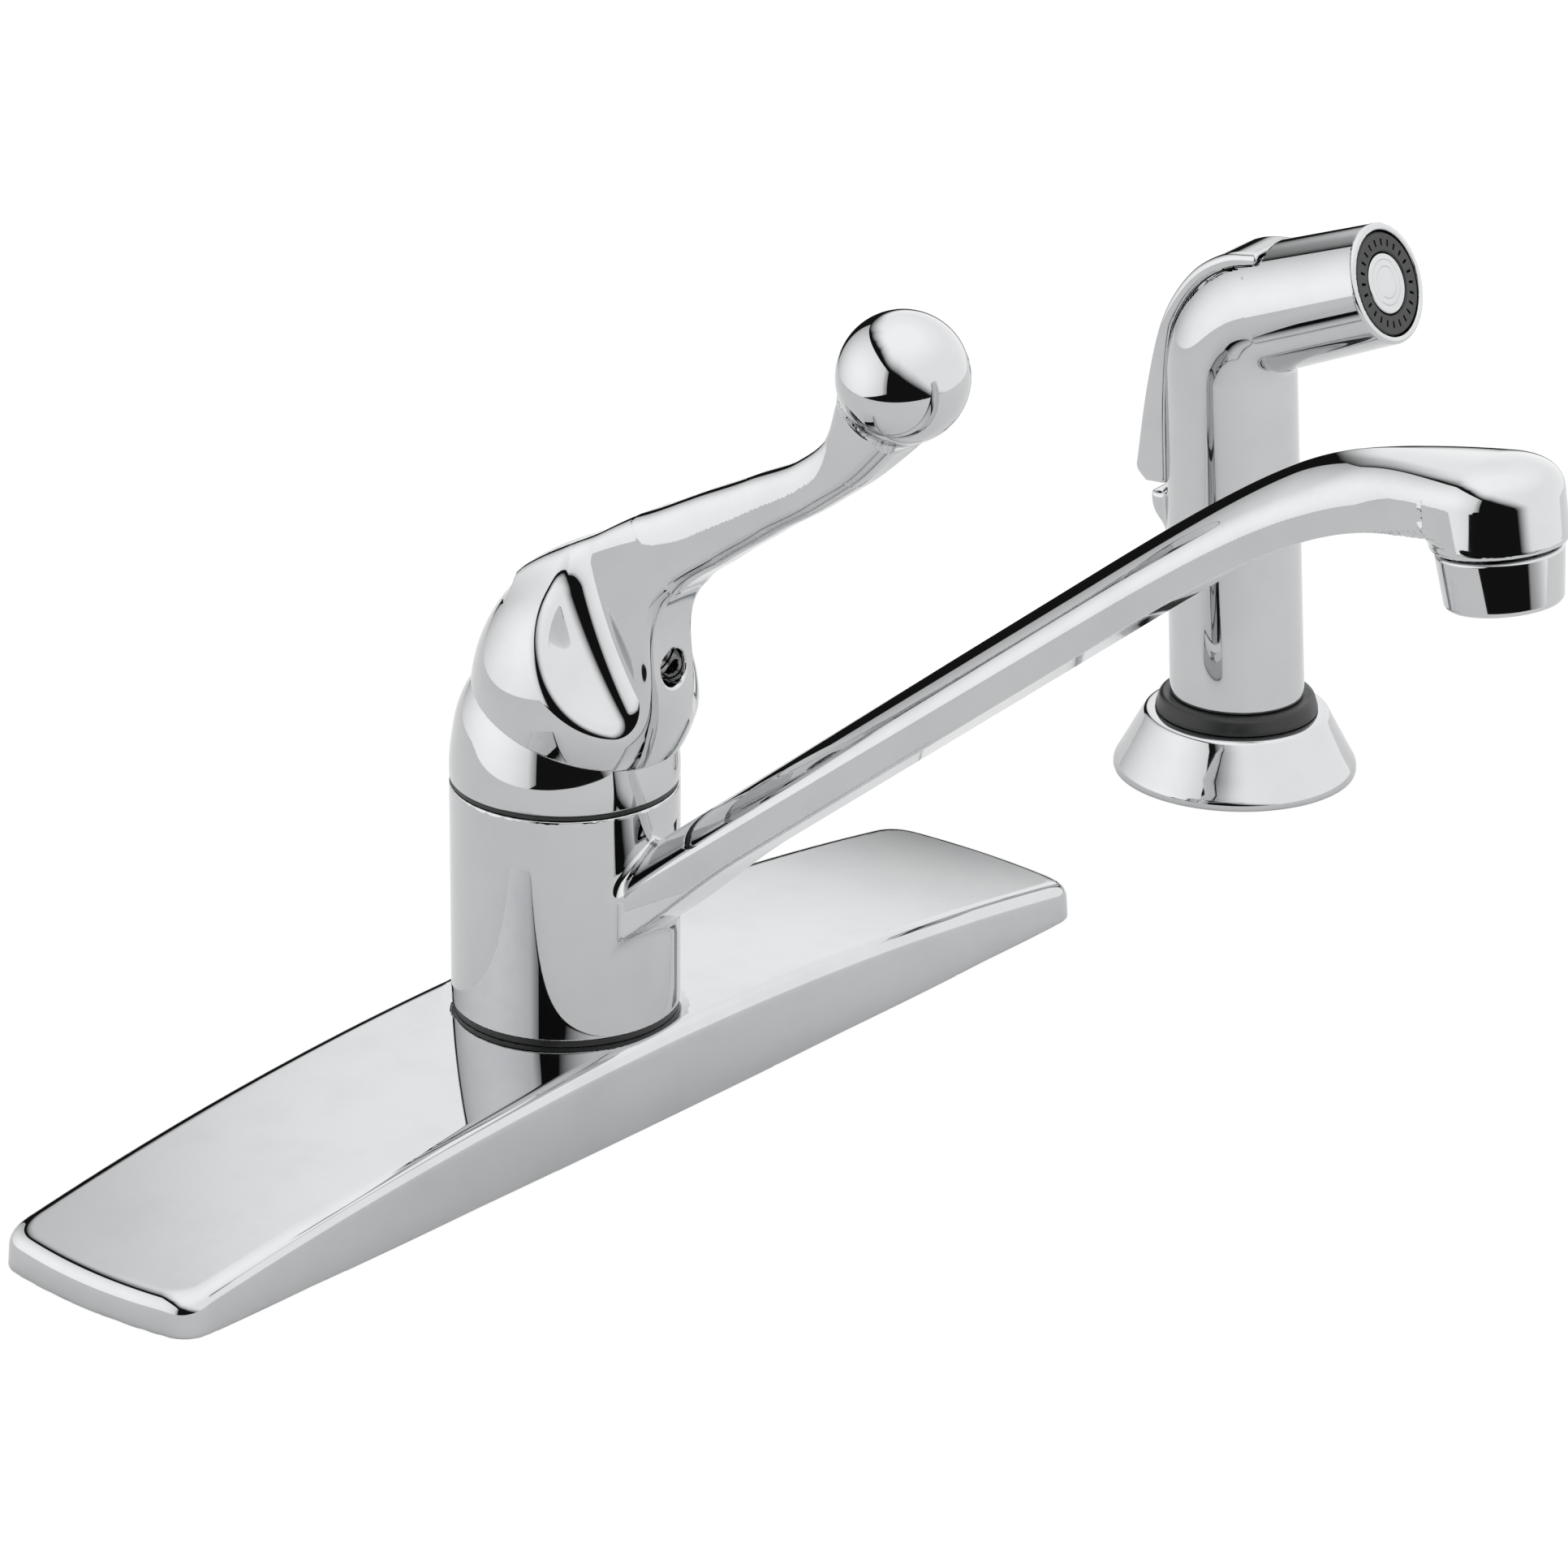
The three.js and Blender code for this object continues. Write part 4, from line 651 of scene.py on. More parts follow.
@dataclass
class Spout:
    """Hub, arm and tip in one casting, with the aerator screwed under the tip."""

    hub_radius: float = 21.0
    hub_low: float = 17.45
    hub_high: float = 60.45
    bore_radius: float = 18.2
    rise: float = 38.0
    tip_rise: float = 9.0
    root_height: float = 29.6
    root_reach: float = 17.0
    flare_reach: float = 44.0
    straight_reach: float = 125.0
    tip_reach: float = 200.0
    tip_height: float = 164.0
    bend_lead: float = 54.0
    bend_tail: float = 26.0
    half_height: float = 5.6
    tip_half_height: float = 5.7
    flare: float = 1.7
    half_width: float = 8.2
    ridge: float = 1.0
    ridge_rise: float = 0.9
    tip_ridge: float = 4.0
    shoulder: float = 5.0
    tip_shoulder: float = 4.6
    water_radius: float = 3.6
    tip_radius: float = 11.3
    tip_lean: float = 9.0
    collar_length: float = 15.9
    crown_rise: float = 2.1
    crown_blend: float = 5.0
    ridge_round: float = 4.4
    tip_round: float = 6.435
    shoulder_round: float = 1.6
    tip_shoulder_round: float = 3.6
    slope_fade: float = 3.0
    edge_round: float = 0.58
    root_fillet: float = 2.2
    plan_reach: float = 22.0
    fade_from: float = 0.45
    side_crown: float = 0.02
    side_crown_at: float = 1.1
    socket_radius: float = 9.3
    socket_depth: float = 7.6
    aerator_radius: float = 10.5
    aerator_taper: float = 0.8
    aerator_length: float = 9.3
    aerator_bore: float = 8.1
    aerator_groove: float = 0.5
    thread_radius: float = 9.0
    thread_length: float = 5.0

    def __post_init__(self) -> None:
        """Lays the arm's centre line and finds the hub's height."""
        slope = math.tan(math.radians(self.rise))
        start = np.array([self.root_reach, self.root_height + self.root_reach * slope])
        bend = np.array([self.straight_reach, self.root_height + self.straight_reach * slope])
        end = np.array([self.tip_reach, self.tip_height])
        bent = [bend, bend + on_slope(self.rise, self.bend_lead), end - on_slope(self.tip_rise, self.bend_tail), end]
        self.line = CentreLine([straight_curve(start, bend), bent])
        self.tip_top = self.tip_half_height + self.crown_rise
        self.collar_bottom = self.tip_top - self.collar_length

    def in_tip(self, points: Points) -> Points:
        """Points in the tip's own frame, which leans forward."""
        return turned_about("X", points - np.array([0, -self.tip_reach, self.tip_height]), self.tip_lean)

    def arm_and_tip(self, points: Points, local: Points) -> tuple[np.ndarray, np.ndarray]:
        """Fields of the arm with the rounded tip it widens into, and of the waterway.

        Args:
            points: Points in the shared frame.
            local: The same points in the tip's own frame.
        """
        station, up, beyond = self.line.nearest(points)
        share = np.clip(station - 1, 0, 1)
        bent = smooth(share)
        near = smooth((share - self.fade_from) / (1 - self.fade_from))
        half = self.half_height + (self.tip_half_height - self.half_height) * bent
        ridge = self.ridge + (self.tip_ridge - self.ridge) * bent
        shoulder = self.shoulder + (self.tip_shoulder - self.shoulder) * bent
        rise = self.ridge_rise + (self.crown_rise - self.ridge_rise) * bent
        run = self.straight_reach - self.root_reach
        root = smooth(1 - np.minimum(station, 1) * run / (self.flare_reach - self.root_reach))
        bottom = half + self.flare * root
        out = np.hypot(local[:, 0], local[:, 1]) - self.tip_radius
        wide = self.tip_radius + (self.half_width - self.tip_radius) * smooth(local[:, 1] / self.plan_reach)
        side = np.hypot(local[:, 0], np.minimum(local[:, 1], 0)) - wide
        side = side + self.side_crown * bent * (1 - near) * (up - self.side_crown_at)**2
        width, drop = wide - ridge, shoulder + rise
        top = up - half - rise
        slope = ((side + width) * drop + top * width) / np.hypot(width, drop) - self.slope_fade * near
        crown = both(top, local[:, 2] - self.tip_top, self.crown_blend)
        shoulder_round = self.shoulder_round + (self.tip_shoulder_round - self.shoulder_round) * near
        ridge_round = self.ridge_round + (self.tip_round - self.ridge_round) * near
        hull = both(both(side, slope, shoulder_round), crown, ridge_round)
        collar = both(out, self.collar_bottom - local[:, 2], 0.9)
        shape = both(hull, joined(-up - bottom, collar, 1.0), 0.02 + self.edge_round * (1 - near))
        water = np.maximum(np.hypot(points[:, 0], up) - self.water_radius, beyond)
        return both(shape, points[:, 1] + self.root_reach), water

    def field(self, points: Points) -> np.ndarray:
        """Shape of the whole casting."""
        hub = upright_rod(points, self.hub_radius, self.hub_low, self.hub_high, 0.3)
        local = self.in_tip(points)
        arm, water = self.arm_and_tip(points, local)
        bore = upright_rod(points, self.bore_radius, self.hub_low - 1, self.hub_high + 1)
        spout = without(joined(hub, arm, self.root_fillet), bore, 0.4)
        spout = without(spout, water)
        socket_top = self.collar_bottom + self.socket_depth
        socket = upright_rod(local, self.socket_radius, self.collar_bottom - 2, socket_top)
        drop = upright_rod(local, self.water_radius, self.collar_bottom, 0)
        return without(spout, joined(socket, drop), 0.3)

    def place_in_tip(self, piece: bpy.types.Object) -> None:
        """Moves the mesh of a piece from the tip's own frame to its place."""
        lean = Matrix.Rotation(math.radians(-self.tip_lean), 4, "X")
        shift = Matrix.Translation(Vector((0, -self.tip_reach, self.tip_height)) * MM)
        piece.data.transform(shift @ lean)

    def aerator(self) -> bpy.types.Object:
        """Shell of the aerator, tapered down to a rolled lower lip, with its threaded neck."""
        top = self.collar_bottom - self.aerator_groove
        low = top - self.aerator_length
        outer = self.aerator_radius - self.aerator_taper
        wall = [(self.aerator_bore, low + 0.5), (self.aerator_bore + 0.4, low), (outer - 0.5, low),
                (outer, low + 0.6), (self.aerator_radius, top - 0.4), (self.aerator_radius - 0.4, top),
                (self.thread_radius, top), (self.thread_radius, top + self.thread_length),
                (self.aerator_bore, top + self.thread_length)]
        shell = object_from("aerator_housing", turned(softened(wall + wall[:1], 0.3), 112))
        keep_flats_flat(shell)
        self.place_in_tip(shell)
        return shell

    def build(self, shop: Workshop) -> None:
        """Makes the casting and the aerator's shell."""
        shop.dress(cast("spout_casting", "spout", self.field, 0.5), "chrome", "spout", "spout")
        shop.dress(self.aerator(), "chrome", "spout", "aerator_shell")


# --- Handle ---


@dataclass
class Handle:
    """Hood over the ball valve, lever and knob in one casting."""

    pivot: float = 68.5
    lean: float = 20.0
    hood_radius: float = 20.6
    hood_half_length: float = 26.2
    hood_centre: float = 13.7
    hood_rim: float = 8.3
    hood_forward: float = 0.8
    facet_offset: float = 25.9
    facet_slant: float = 21.8
    facet_rise: float = 35.4
    facet_hollow: float = 90.0
    valley: float = 4.5
    root_corner: float = 1.8
    corner: float = 4.0
    back_fillet: float = 6.0
    front_fillet: float = 7.0
    cavity_radius: float = 20.6
    stem_radius: float = 3.3
    stem_depth: float = 32.0
    screw_height: float = 27.9
    screw_radius: float = 3.2
    knob_radius: float = 11.6
    knob_reach: float = 77.9
    knob_rise: float = 86.8
    stations: tuple = (
        (7.6, 25.0, 48, 12.4, 7.2),
        (25.9, 42.8, 36, 7.8, 6.7),
        (36.8, 49.8, 33, 6.5, 5.9),
        (47.8, 56.5, 33, 5.5, 5.2),
        (58.9, 63.1, 36, 4.8, 4.7),
        (66.5, 69.2, 44, 5.2, 5.0),
        (73.5, 78.6, 56, 7.4, 6.6),
    )

    def __post_init__(self) -> None:
        """Lays the lever's centre line."""
        pairs = zip(self.stations, self.stations[1:])
        self.line = CentreLine([smooth_curve(a[:2], b[:2], a[2], b[2]) for a, b in pairs])

    def hood(self, points: Points) -> np.ndarray:
        """Egg on the stem's axis, cut off at its rim and by a facet on each side."""
        x, y, z = turned_about("X", points, -self.lean).T
        out = np.hypot(x, y + self.hood_forward) / self.hood_radius
        along = (z - self.hood_centre) / self.hood_half_length
        egg = (np.sqrt(out**2 + along**2) - 1) * self.hood_radius
        return both(egg, self.hood_rim - z, 0.5)

    def facet(self, points: Points) -> np.ndarray:
        """Distance inside the slightly hollow facets that show the lever's flat sides."""
        slant, rise = math.radians(self.facet_slant), math.radians(self.facet_rise)
        normal = np.array([math.sin(slant), -math.cos(slant) * math.cos(rise), math.cos(slant) * math.sin(rise)])
        mirrored = points.copy()
        mirrored[:, 0] = np.abs(mirrored[:, 0])
        middle = normal * (self.facet_offset + self.facet_hollow)
        return np.linalg.norm(mirrored - middle, axis=1) - self.facet_hollow

    def shape(self, points: Points) -> np.ndarray:
        """Hood and lever together, with one flat side that runs from the lever into the hood.

        The lever's side cuts both, so that its wall and the facet meet in a rounded valley.
        """
        station, up, beyond = self.line.nearest(points)
        high = eased([s[3] for s in self.stations], station)
        side = np.abs(points[:, 0]) - eased([s[4] for s in self.stations], station)
        corner = self.root_corner + (self.corner - self.root_corner) * np.clip(station - 0.2, 0, 1)
        fillet = self.front_fillet + (self.back_fillet - self.front_fillet) * np.clip(0.5 + 0.5 * up / high, 0, 1)
        facet = self.facet(points)
        slack = corner * np.clip(-facet / self.valley, 0, 1)
        lever = np.maximum(both(side - slack, np.abs(up) - high, corner), beyond)
        kept = joined(-facet, side, self.valley)
        return both(joined(self.hood(points), lever, fillet), kept, corner)

    def field(self, points: Points) -> np.ndarray:
        """Shape of the whole casting."""
        local = points - np.array([0, 0, self.pivot])
        knob = np.linalg.norm(local - np.array([0, -self.knob_reach, self.knob_rise]), axis=1) - self.knob_radius
        handle = joined(self.shape(local), knob, 1.6)
        handle = without(handle, np.linalg.norm(local, axis=1) - self.cavity_radius, 0.4)
        stem = turned_about("X", local, -self.lean)
        handle = without(handle, upright_rod(stem, self.stem_radius, 0, self.stem_depth))
        x, y, z = stem.T
        screw = np.maximum(np.hypot(x, z - self.screw_height) - self.screw_radius, y)
        return without(handle, screw, 0.5)

    def build(self, shop: Workshop) -> None:
        """Makes the casting."""
        shop.dress(cast("handle_casting", "handle", self.field, 0.42), "chrome", "handle", "handle")


# --- Spray holder and sprayer ---


@dataclass
class SprayFrame:
    """Where the side spray stands and how it is turned."""

    reach: float = 203.2
    turn: float = 5.5
    lean: float = 3.2
    foot: float = 16.45

    def upright(self, points: Points) -> Points:
        """Points in the frame at the foot of the holder."""
        return turned_about("Z", points - np.array([self.reach, 0, 0]), -self.turn)

    def leaning(self, upright: Points) -> Points:
        """Points in the frame that leans back with the column."""
        low = np.array([0, 0, self.foot])
        return turned_about("X", upright - low, self.lean) + low

    def place(self, piece: bpy.types.Object, leaning: bool = False) -> None:
        """Moves the mesh of a piece from the holder's frame to its place."""
        move = Matrix.Translation((self.reach * MM, 0, 0)) @ Matrix.Rotation(math.radians(self.turn), 4, "Z")
        if leaning:
            low = Matrix.Translation((0, 0, self.foot * MM))
            move = move @ low @ Matrix.Rotation(math.radians(-self.lean), 4, "X") @ low.inverted()
        piece.data.transform(move)


@dataclass
class SprayHolder:
    """Flange on the deck with a dark insert that the sprayer stands in."""

    frame: SprayFrame
    bore: float = 15.6
    rim_radius: float = 24.75
    rim_height: float = 1.5
    height: float = 12.9
    top_radius: float = 17.3
    insert_top: float = 16.4
    insert_radius: float = 15.3
    insert_wall: float = 2.3
    collar_radius: float = 16.5

    def build(self, shop: Workshop) -> None:
        """Makes the flange and the insert."""
        slope = [(self.rim_radius, 0), (self.rim_radius, self.rim_height), (23.2, 4.3), (19.8, 10.7)]
        outer = softened(slope, 2.4, 6)[1:]
        crown = softened([outer[-1], (18.7, 12.7), (self.top_radius, self.height), (self.bore, self.height)], 1.6, 6)
        profile = [(self.bore, 0), (self.rim_radius - 0.5, 0), (self.rim_radius - 0.12, 0.15),
                   (self.rim_radius, 0.5)] + outer + crown[1:]
        flange = object_from("flange_turned", turned(profile, 128))
        keep_flats_flat(flange)
        self.frame.place(flange)
        shop.dress(flange, "chrome", "base", "spray_support")
        collar = self.height + 0.05
        inner = self.insert_radius - self.insert_wall
        sleeve = [(inner, 0.3), (self.insert_radius, 0.3), (self.insert_radius, collar),
                  (self.collar_radius, collar), (self.collar_radius, collar + 0.7),
                  (self.insert_radius + 0.5, self.insert_top - 0.5), (self.insert_radius - 0.2, self.insert_top),
                  (inner, self.insert_top)]
        insert = object_from("insert_turned", turned(softened(sleeve + sleeve[:1], 0.45), 112))
        keep_flats_flat(insert)
        self.frame.place(insert)
        shop.dress(insert, "black_plastic", "base", "support_insert")


@dataclass
class Trigger:
    """Lever on the sprayer's back, hinged near its top. Heights are in the leaning frame."""

    half_width: float = 7.4
    thickness: float = 2.6
    cheek_wall: float = 1.5
    cheek_depth: float = 3.2
    cheek_from: float = 18.0
    cheek_flare: float = 0.165
    pivot_ahead: float = 4.0
    pivot_height: float = 106.6
    pin_radius: float = 1.2
    ear_half_width: float = 3.0
    ear_radius: float = 2.4
    ear_height: float = 3.0
    travel: float = 4.0
    end_play: float = 1.2
    gap: float = 0.3
    # The back's outline from the pivot end down: behind the column's centre line, above the pivot.
    outline: tuple = (
        (-10.8, 5.6), (-3.7, 4.6), (3.1, 1.1), (8.4, -4.6), (12.4, -12.1), (15.9, -25.5), (18.9, -43.0),
    )

    def __post_init__(self) -> None:
        """Lays a smooth line through the outline's points."""
        points = np.array([(-back, self.pivot_height + up) for back, up in self.outline])
        slopes = np.gradient(points, axis=0)
        slopes[0] = points[1] - points[0]
        slopes[-1] = points[-1] - points[-2]
        spans = np.linalg.norm(np.diff(points, axis=0), axis=1)
        curves = []
        for i, span in enumerate(spans):
            out, back = (slopes[j] / np.linalg.norm(slopes[j]) * span / 3 for j in (i, i + 1))
            curves.append([points[i], points[i] + out, points[i + 1] - back, points[i + 1]])
        self.line = CentreLine(curves)

    def depth(self, leaning: Points) -> tuple[np.ndarray, np.ndarray]:
        """Depth of each point behind the trigger's back, and how far it lies past the back's ends."""
        _, depth, beyond = self.line.nearest(leaning)
        return depth, beyond

    def pivot_bar(self, leaning: Points, radius: float, half_length: float) -> np.ndarray:
        """Field of a bar along the hinge."""
        out = np.hypot(leaning[:, 1] + self.pivot_ahead, leaning[:, 2] - self.pivot_height)
        return np.maximum(out - radius, np.abs(leaning[:, 0]) - half_length)

    def web(self, leaning: Points, room: float) -> np.ndarray:
        """Field of the hinge's ear and the web over it, grown by some room."""
        half, deep = self.ear_half_width + room, self.ear_radius + room
        rise = self.ear_height if room == 0 else 30.0
        low = (-half, -self.pivot_ahead - deep, self.pivot_height)
        high = (half, -self.pivot_ahead + deep, self.pivot_height + rise)
        return joined(self.pivot_bar(leaning, deep, half), block(leaning, low, high))

    def arm(self, leaning: Points) -> np.ndarray:
        """Distance of each point from the hinge, for points below it."""
        reach = np.hypot(leaning[:, 1] + self.pivot_ahead, leaning[:, 2] - self.pivot_height)
        return np.where(leaning[:, 2] < self.pivot_height + self.ear_radius, np.minimum(reach, 47), 0)

    def cheek(self, arm: np.ndarray) -> np.ndarray:
        """Depth of the trigger's cheeks from its back."""
        return self.cheek_depth + np.maximum(arm - self.cheek_from, 0) * self.cheek_flare

    def room(self, leaning: Points) -> np.ndarray:
        """Field of the room that the body leaves for the trigger and its travel."""
        depth, _ = self.depth(leaning)
        arm = self.arm(leaning)
        sweep = arm * math.tan(math.radians(self.travel)) + self.gap
        x = np.abs(leaning[:, 0])
        middle = depth - self.thickness - sweep
        slot = np.maximum(depth - self.cheek(arm) - sweep, self.half_width - self.cheek_wall - self.gap - x)
        front = -leaning[:, 1] + self.outline[0][0] - 2.3 * self.gap
        low = self.pivot_height + self.outline[-1][1] - self.thickness - self.end_play - 1.0 - leaning[:, 2]
        side = x - self.half_width - self.gap
        return np.maximum(np.maximum(np.minimum(middle, slot), side), np.maximum(front, low))

    def field(self, leaning: Points) -> np.ndarray:
        """Shape of the trigger."""
        depth, _ = self.depth(leaning)
        arm = self.arm(leaning)
        x = np.abs(leaning[:, 0])
        back, up = leaning[:, 1], leaning[:, 2] - self.pivot_height
        whole = both(np.maximum(-depth, depth - self.cheek(arm)), x - self.half_width, 1.5)
        channel = np.maximum(self.thickness - depth, x - self.half_width + self.cheek_wall)
        shell = without(whole, channel, 0.4)
        end_back, end_up = self.outline[-1]
        lip = (back - end_back - (up - end_up)) / math.sqrt(2)
        bottom = np.maximum(lip, end_up - self.thickness - up)
        front = self.outline[0][0] - back
        shell = both(shell, np.maximum(bottom, front), 0.8)
        shell = joined(shell, self.web(leaning, 0), 0.4)
        return without(shell, self.pivot_bar(leaning, self.pin_radius + self.gap, 2 * self.half_width))


@dataclass
class Sprayer:
    """Hand spray: column, bent head, trigger on its back and nozzle in its mouth."""

    frame: SprayFrame
    trigger: Trigger
    spigot_radius: float = 12.6
    spigot_low: float = 3.0
    column_radius: float = 13.7
    column_top_radius: float = 13.3
    head_radius: float = 12.9
    mouth_radius: float = 12.1
    rise: float = 18.3
    head_height: float = 95.9
    head_reach: float = 38.6
    bend: float = 16.0
    bore: float = 5.0
    mouth_bore: float = 10.6
    mouth_depth: float = 9.0
    valve_height: float = 76.0
    coupling_room: float = 7.9
    coupling_top: float = 11.05
    nozzle_radius: float = 6.1
    nozzle_setback: float = 0.3
    nozzle_thickness: float = 1.2
    nozzle_screw: float = 2.4
    nozzle_screw_length: float = 5.2
    ring_thickness: float = 4.0
    slot_count: int = 24
    slot_from: float = 7.5
    slot_to: float = 8.9
    slot_depth: float = 0.9

    def __post_init__(self) -> None:
        """Lays the sprayer's centre line: upright, round the bend and along the head."""
        angle = math.radians(90 - self.rise)
        bottom = self.head_height - self.bend * math.tan(angle / 2)
        foot = np.array([0.0, self.frame.foot - 4])
        start = np.array([0.0, bottom])
        along = on_slope(self.rise)
        middle = np.array([self.bend * (1 - math.cos(angle / 2)), bottom + self.bend * math.sin(angle / 2)])
        end = np.array([self.bend * (1 - math.cos(angle)), bottom + self.bend * math.sin(angle)])
        mouth = np.array([0, self.head_height]) + along * self.head_reach
        lead = self.bend * 4 / 3 * math.tan(angle / 8)
        halfway = np.array([math.sin(angle / 2), math.cos(angle / 2)])
        up = np.array([0.0, 1.0])
        self.line = CentreLine([
            straight_curve(foot, start),
            [start, start + up * lead, middle - halfway * lead, middle],
            [middle, middle + halfway * lead, end - along * lead, end],
            straight_curve(end, mouth),
        ])

    def on_head(self, leaning: Points) -> Points:
        """Points in the frame that stands on the head, with its Z axis towards the mouth."""
        return turned_about("X", leaning - np.array([0, 0, self.head_height]), self.rise - 90)

    def tube(self, leaning: Points) -> np.ndarray:
        """Column, bend and head without their holes."""
        station, up, _ = self.line.nearest(leaning)
        middle = (self.column_top_radius + self.head_radius) / 2
        radii = [self.column_radius, self.column_top_radius, middle, self.head_radius, self.mouth_radius]
        radius = np.interp(station, range(5), radii)
        head = self.on_head(leaning)
        return both(np.hypot(leaning[:, 0], up) - radius, head[:, 2] - self.head_reach, 0.9)

    def lug(self, leaning: Points) -> np.ndarray:
        """Small nose on the column's back, under the trigger's end."""
        back, up = leaning[:, 1], leaning[:, 2]
        slope = (back - 12.0) * 0.747 - (up - 50.0) * 0.664
        nose = both(both(slope, back - 16.2, 1.5), up - 58.6, 0.8)
        return both(both(nose, np.abs(leaning[:, 0]) - 6.0, 1.5), 9.0 - back)

    def holes(self, leaning: Points) -> np.ndarray:
        """Water bores, valve bores and the hinge's holes."""
        head = self.on_head(leaning)
        water = joined(upright_rod(leaning, self.bore, self.frame.foot + 2, self.head_height),
                       upright_rod(head, self.bore, 0, self.head_reach))
        around = np.hypot(leaning[:, 0], leaning[:, 2] - self.valve_height)
        back = leaning[:, 1]
        valve = joined(np.maximum(around - 4.6, 5.5 - back),
                       np.maximum(around - 2.3, np.abs(back - 3.2) - 3.3))
        valve = joined(valve, np.maximum(around - 4.7, np.abs(back + 1.15) - 3.65))
        hinge = joined(self.trigger.pivot_bar(leaning, 1.5, 7.7), self.trigger.web(leaning, 0.3))
        return joined(joined(water, valve), hinge)

    def field(self, points: Points) -> np.ndarray:
        """Shape of the sprayer's body."""
        upright = self.frame.upright(points)
        leaning = self.frame.leaning(upright)
        body = joined(self.tube(leaning), self.lug(leaning), 1.5)
        body = without(body, self.trigger.room(leaning), 0.35)
        body = without(body, self.holes(leaning))
        mouth = upright_rod(self.on_head(leaning), self.mouth_bore, self.head_reach - self.mouth_depth,
                            self.head_reach + 5)
        body = without(body, mouth, 0.5)
        body = both(body, self.frame.foot - upright[:, 2], 0.7)
        spigot = upright_rod(upright, self.spigot_radius, self.spigot_low, self.frame.foot + 4, 0.5)
        body = joined(body, spigot)
        low = joined(upright_rod(upright, self.coupling_room, 0, self.coupling_top),
                     upright_rod(upright, self.bore, 0, self.frame.foot + 4.05))
        return without(body, low)

    def trigger_field(self, points: Points) -> np.ndarray:
        """Shape of the trigger in the shared frame."""
        return self.trigger.field(self.frame.leaning(self.frame.upright(points)))

    def in_mouth(self, piece: bpy.types.Object) -> None:
        """Moves the mesh of a piece from the head's own frame to its place."""
        piece.data.transform(Matrix.Translation((0, 0, self.head_height * MM))
                             @ Matrix.Rotation(math.radians(90 - self.rise), 4, "X"))
        self.frame.place(piece, leaning=True)

    def nozzle_face(self) -> bpy.types.Object:
        """Dark ring in the mouth, with a ring of short slots that the water leaves by."""
        face = self.head_reach - self.nozzle_setback
        back = face - self.ring_thickness
        outer = self.mouth_bore - 0.3
        inner = self.nozzle_screw + 0.3
        recess = face - self.nozzle_thickness - 0.3
        profile = [(inner, back), (outer, back), (outer, face - 0.3), (outer - 0.3, face), (self.slot_to, face),
                   (self.slot_from, face), (self.nozzle_radius + 0.6, face), (self.nozzle_radius + 0.3, face - 0.3),
                   (self.nozzle_radius + 0.3, recess), (inner, recess)]
        mesh = turned(profile, 4 * self.slot_count)
        slots = []
        for polygon in mesh.faces:
            middle = polygon.calc_center_median()
            step = math.atan2(middle.y, middle.x) / (2 * math.pi) * 4 * self.slot_count
            reach = math.hypot(middle.x, middle.y)
            if middle.z > face - 0.05 and self.slot_from < reach < self.slot_to and math.floor(step) % 4 == 0:
                slots.append(polygon)
        bmesh.ops.inset_individual(mesh, faces=slots, thickness=0.04, depth=-self.slot_depth)
        made = object_from("nozzle_face", mesh)
        made.data.shade_flat()
        self.in_mouth(made)
        return made

    def nozzle_disc(self) -> bpy.types.Object:
        """Bright disc in the middle of the nozzle, with two fine turned rings."""
        face = self.head_reach - self.nozzle_setback
        back = face - self.nozzle_thickness
        profile = [(0, back - self.nozzle_screw_length), (self.nozzle_screw, back - self.nozzle_screw_length),
                   (self.nozzle_screw, back), (self.nozzle_radius, back), (self.nozzle_radius, face - 0.25),
                   (self.nozzle_radius - 0.25, face)]
        for ring in (4.6, 3.2):
            profile += [(ring + 0.35, face), (ring, face - 0.18), (ring - 0.35, face)]
        disc = object_from("nozzle_disc", turned(softened(profile + [(0, face)], 0.12, 2), 72, closed=False))
        self.in_mouth(disc)
        return disc

    def build(self, shop: Workshop) -> None:
        """Makes the body, the trigger and the nozzle's disc."""
        shop.dress(cast("sprayer_casting", "sprayer_body", self.field, 0.45), "chrome", "sprayer", "sprayer_body")
        shop.dress(cast("trigger_casting", "spray_trigger", self.trigger_field, 0.35), "chrome", "trigger",
                   "spray_trigger")
        shop.dress(self.nozzle_face(), "black_plastic", "sprayer", "nozzle_ring")
        shop.dress(self.nozzle_disc(), "chrome", "sprayer", "nozzle_centre")


# --- Studio ---


def card(name: str, mesh: bmesh.types.BMesh, strength: float) -> bpy.types.Object:
    """Makes a glowing studio card that lights the object and shows in its chrome.

    Args:
        name: Name of the card.
        mesh: Its mesh in millimetres, whose layer "glow" says how bright each corner is.
        strength: Light that it gives where that is 1.

    Returns:
        The card, which the camera doesn't see itself.
    """
    made = object_from(name, mesh)
    material, tree = empty_tree(bpy.data.materials, name)
    level = add_node(tree, "ShaderNodeAttribute", {"attribute_name": "glow"})
    scaled = add_node(tree, "ShaderNodeMath", {"operation": "MULTIPLY", 1: strength}, {0: level.outputs["Fac"]})
    glow = add_node(tree, "ShaderNodeEmission", None, {"Strength": scaled.outputs[0]})
    add_node(tree, "ShaderNodeOutputMaterial", None, {"Surface": glow.outputs[0]})
    made.data.materials.append(material)
    made.visible_camera = False
    made.visible_shadow = False
    return made


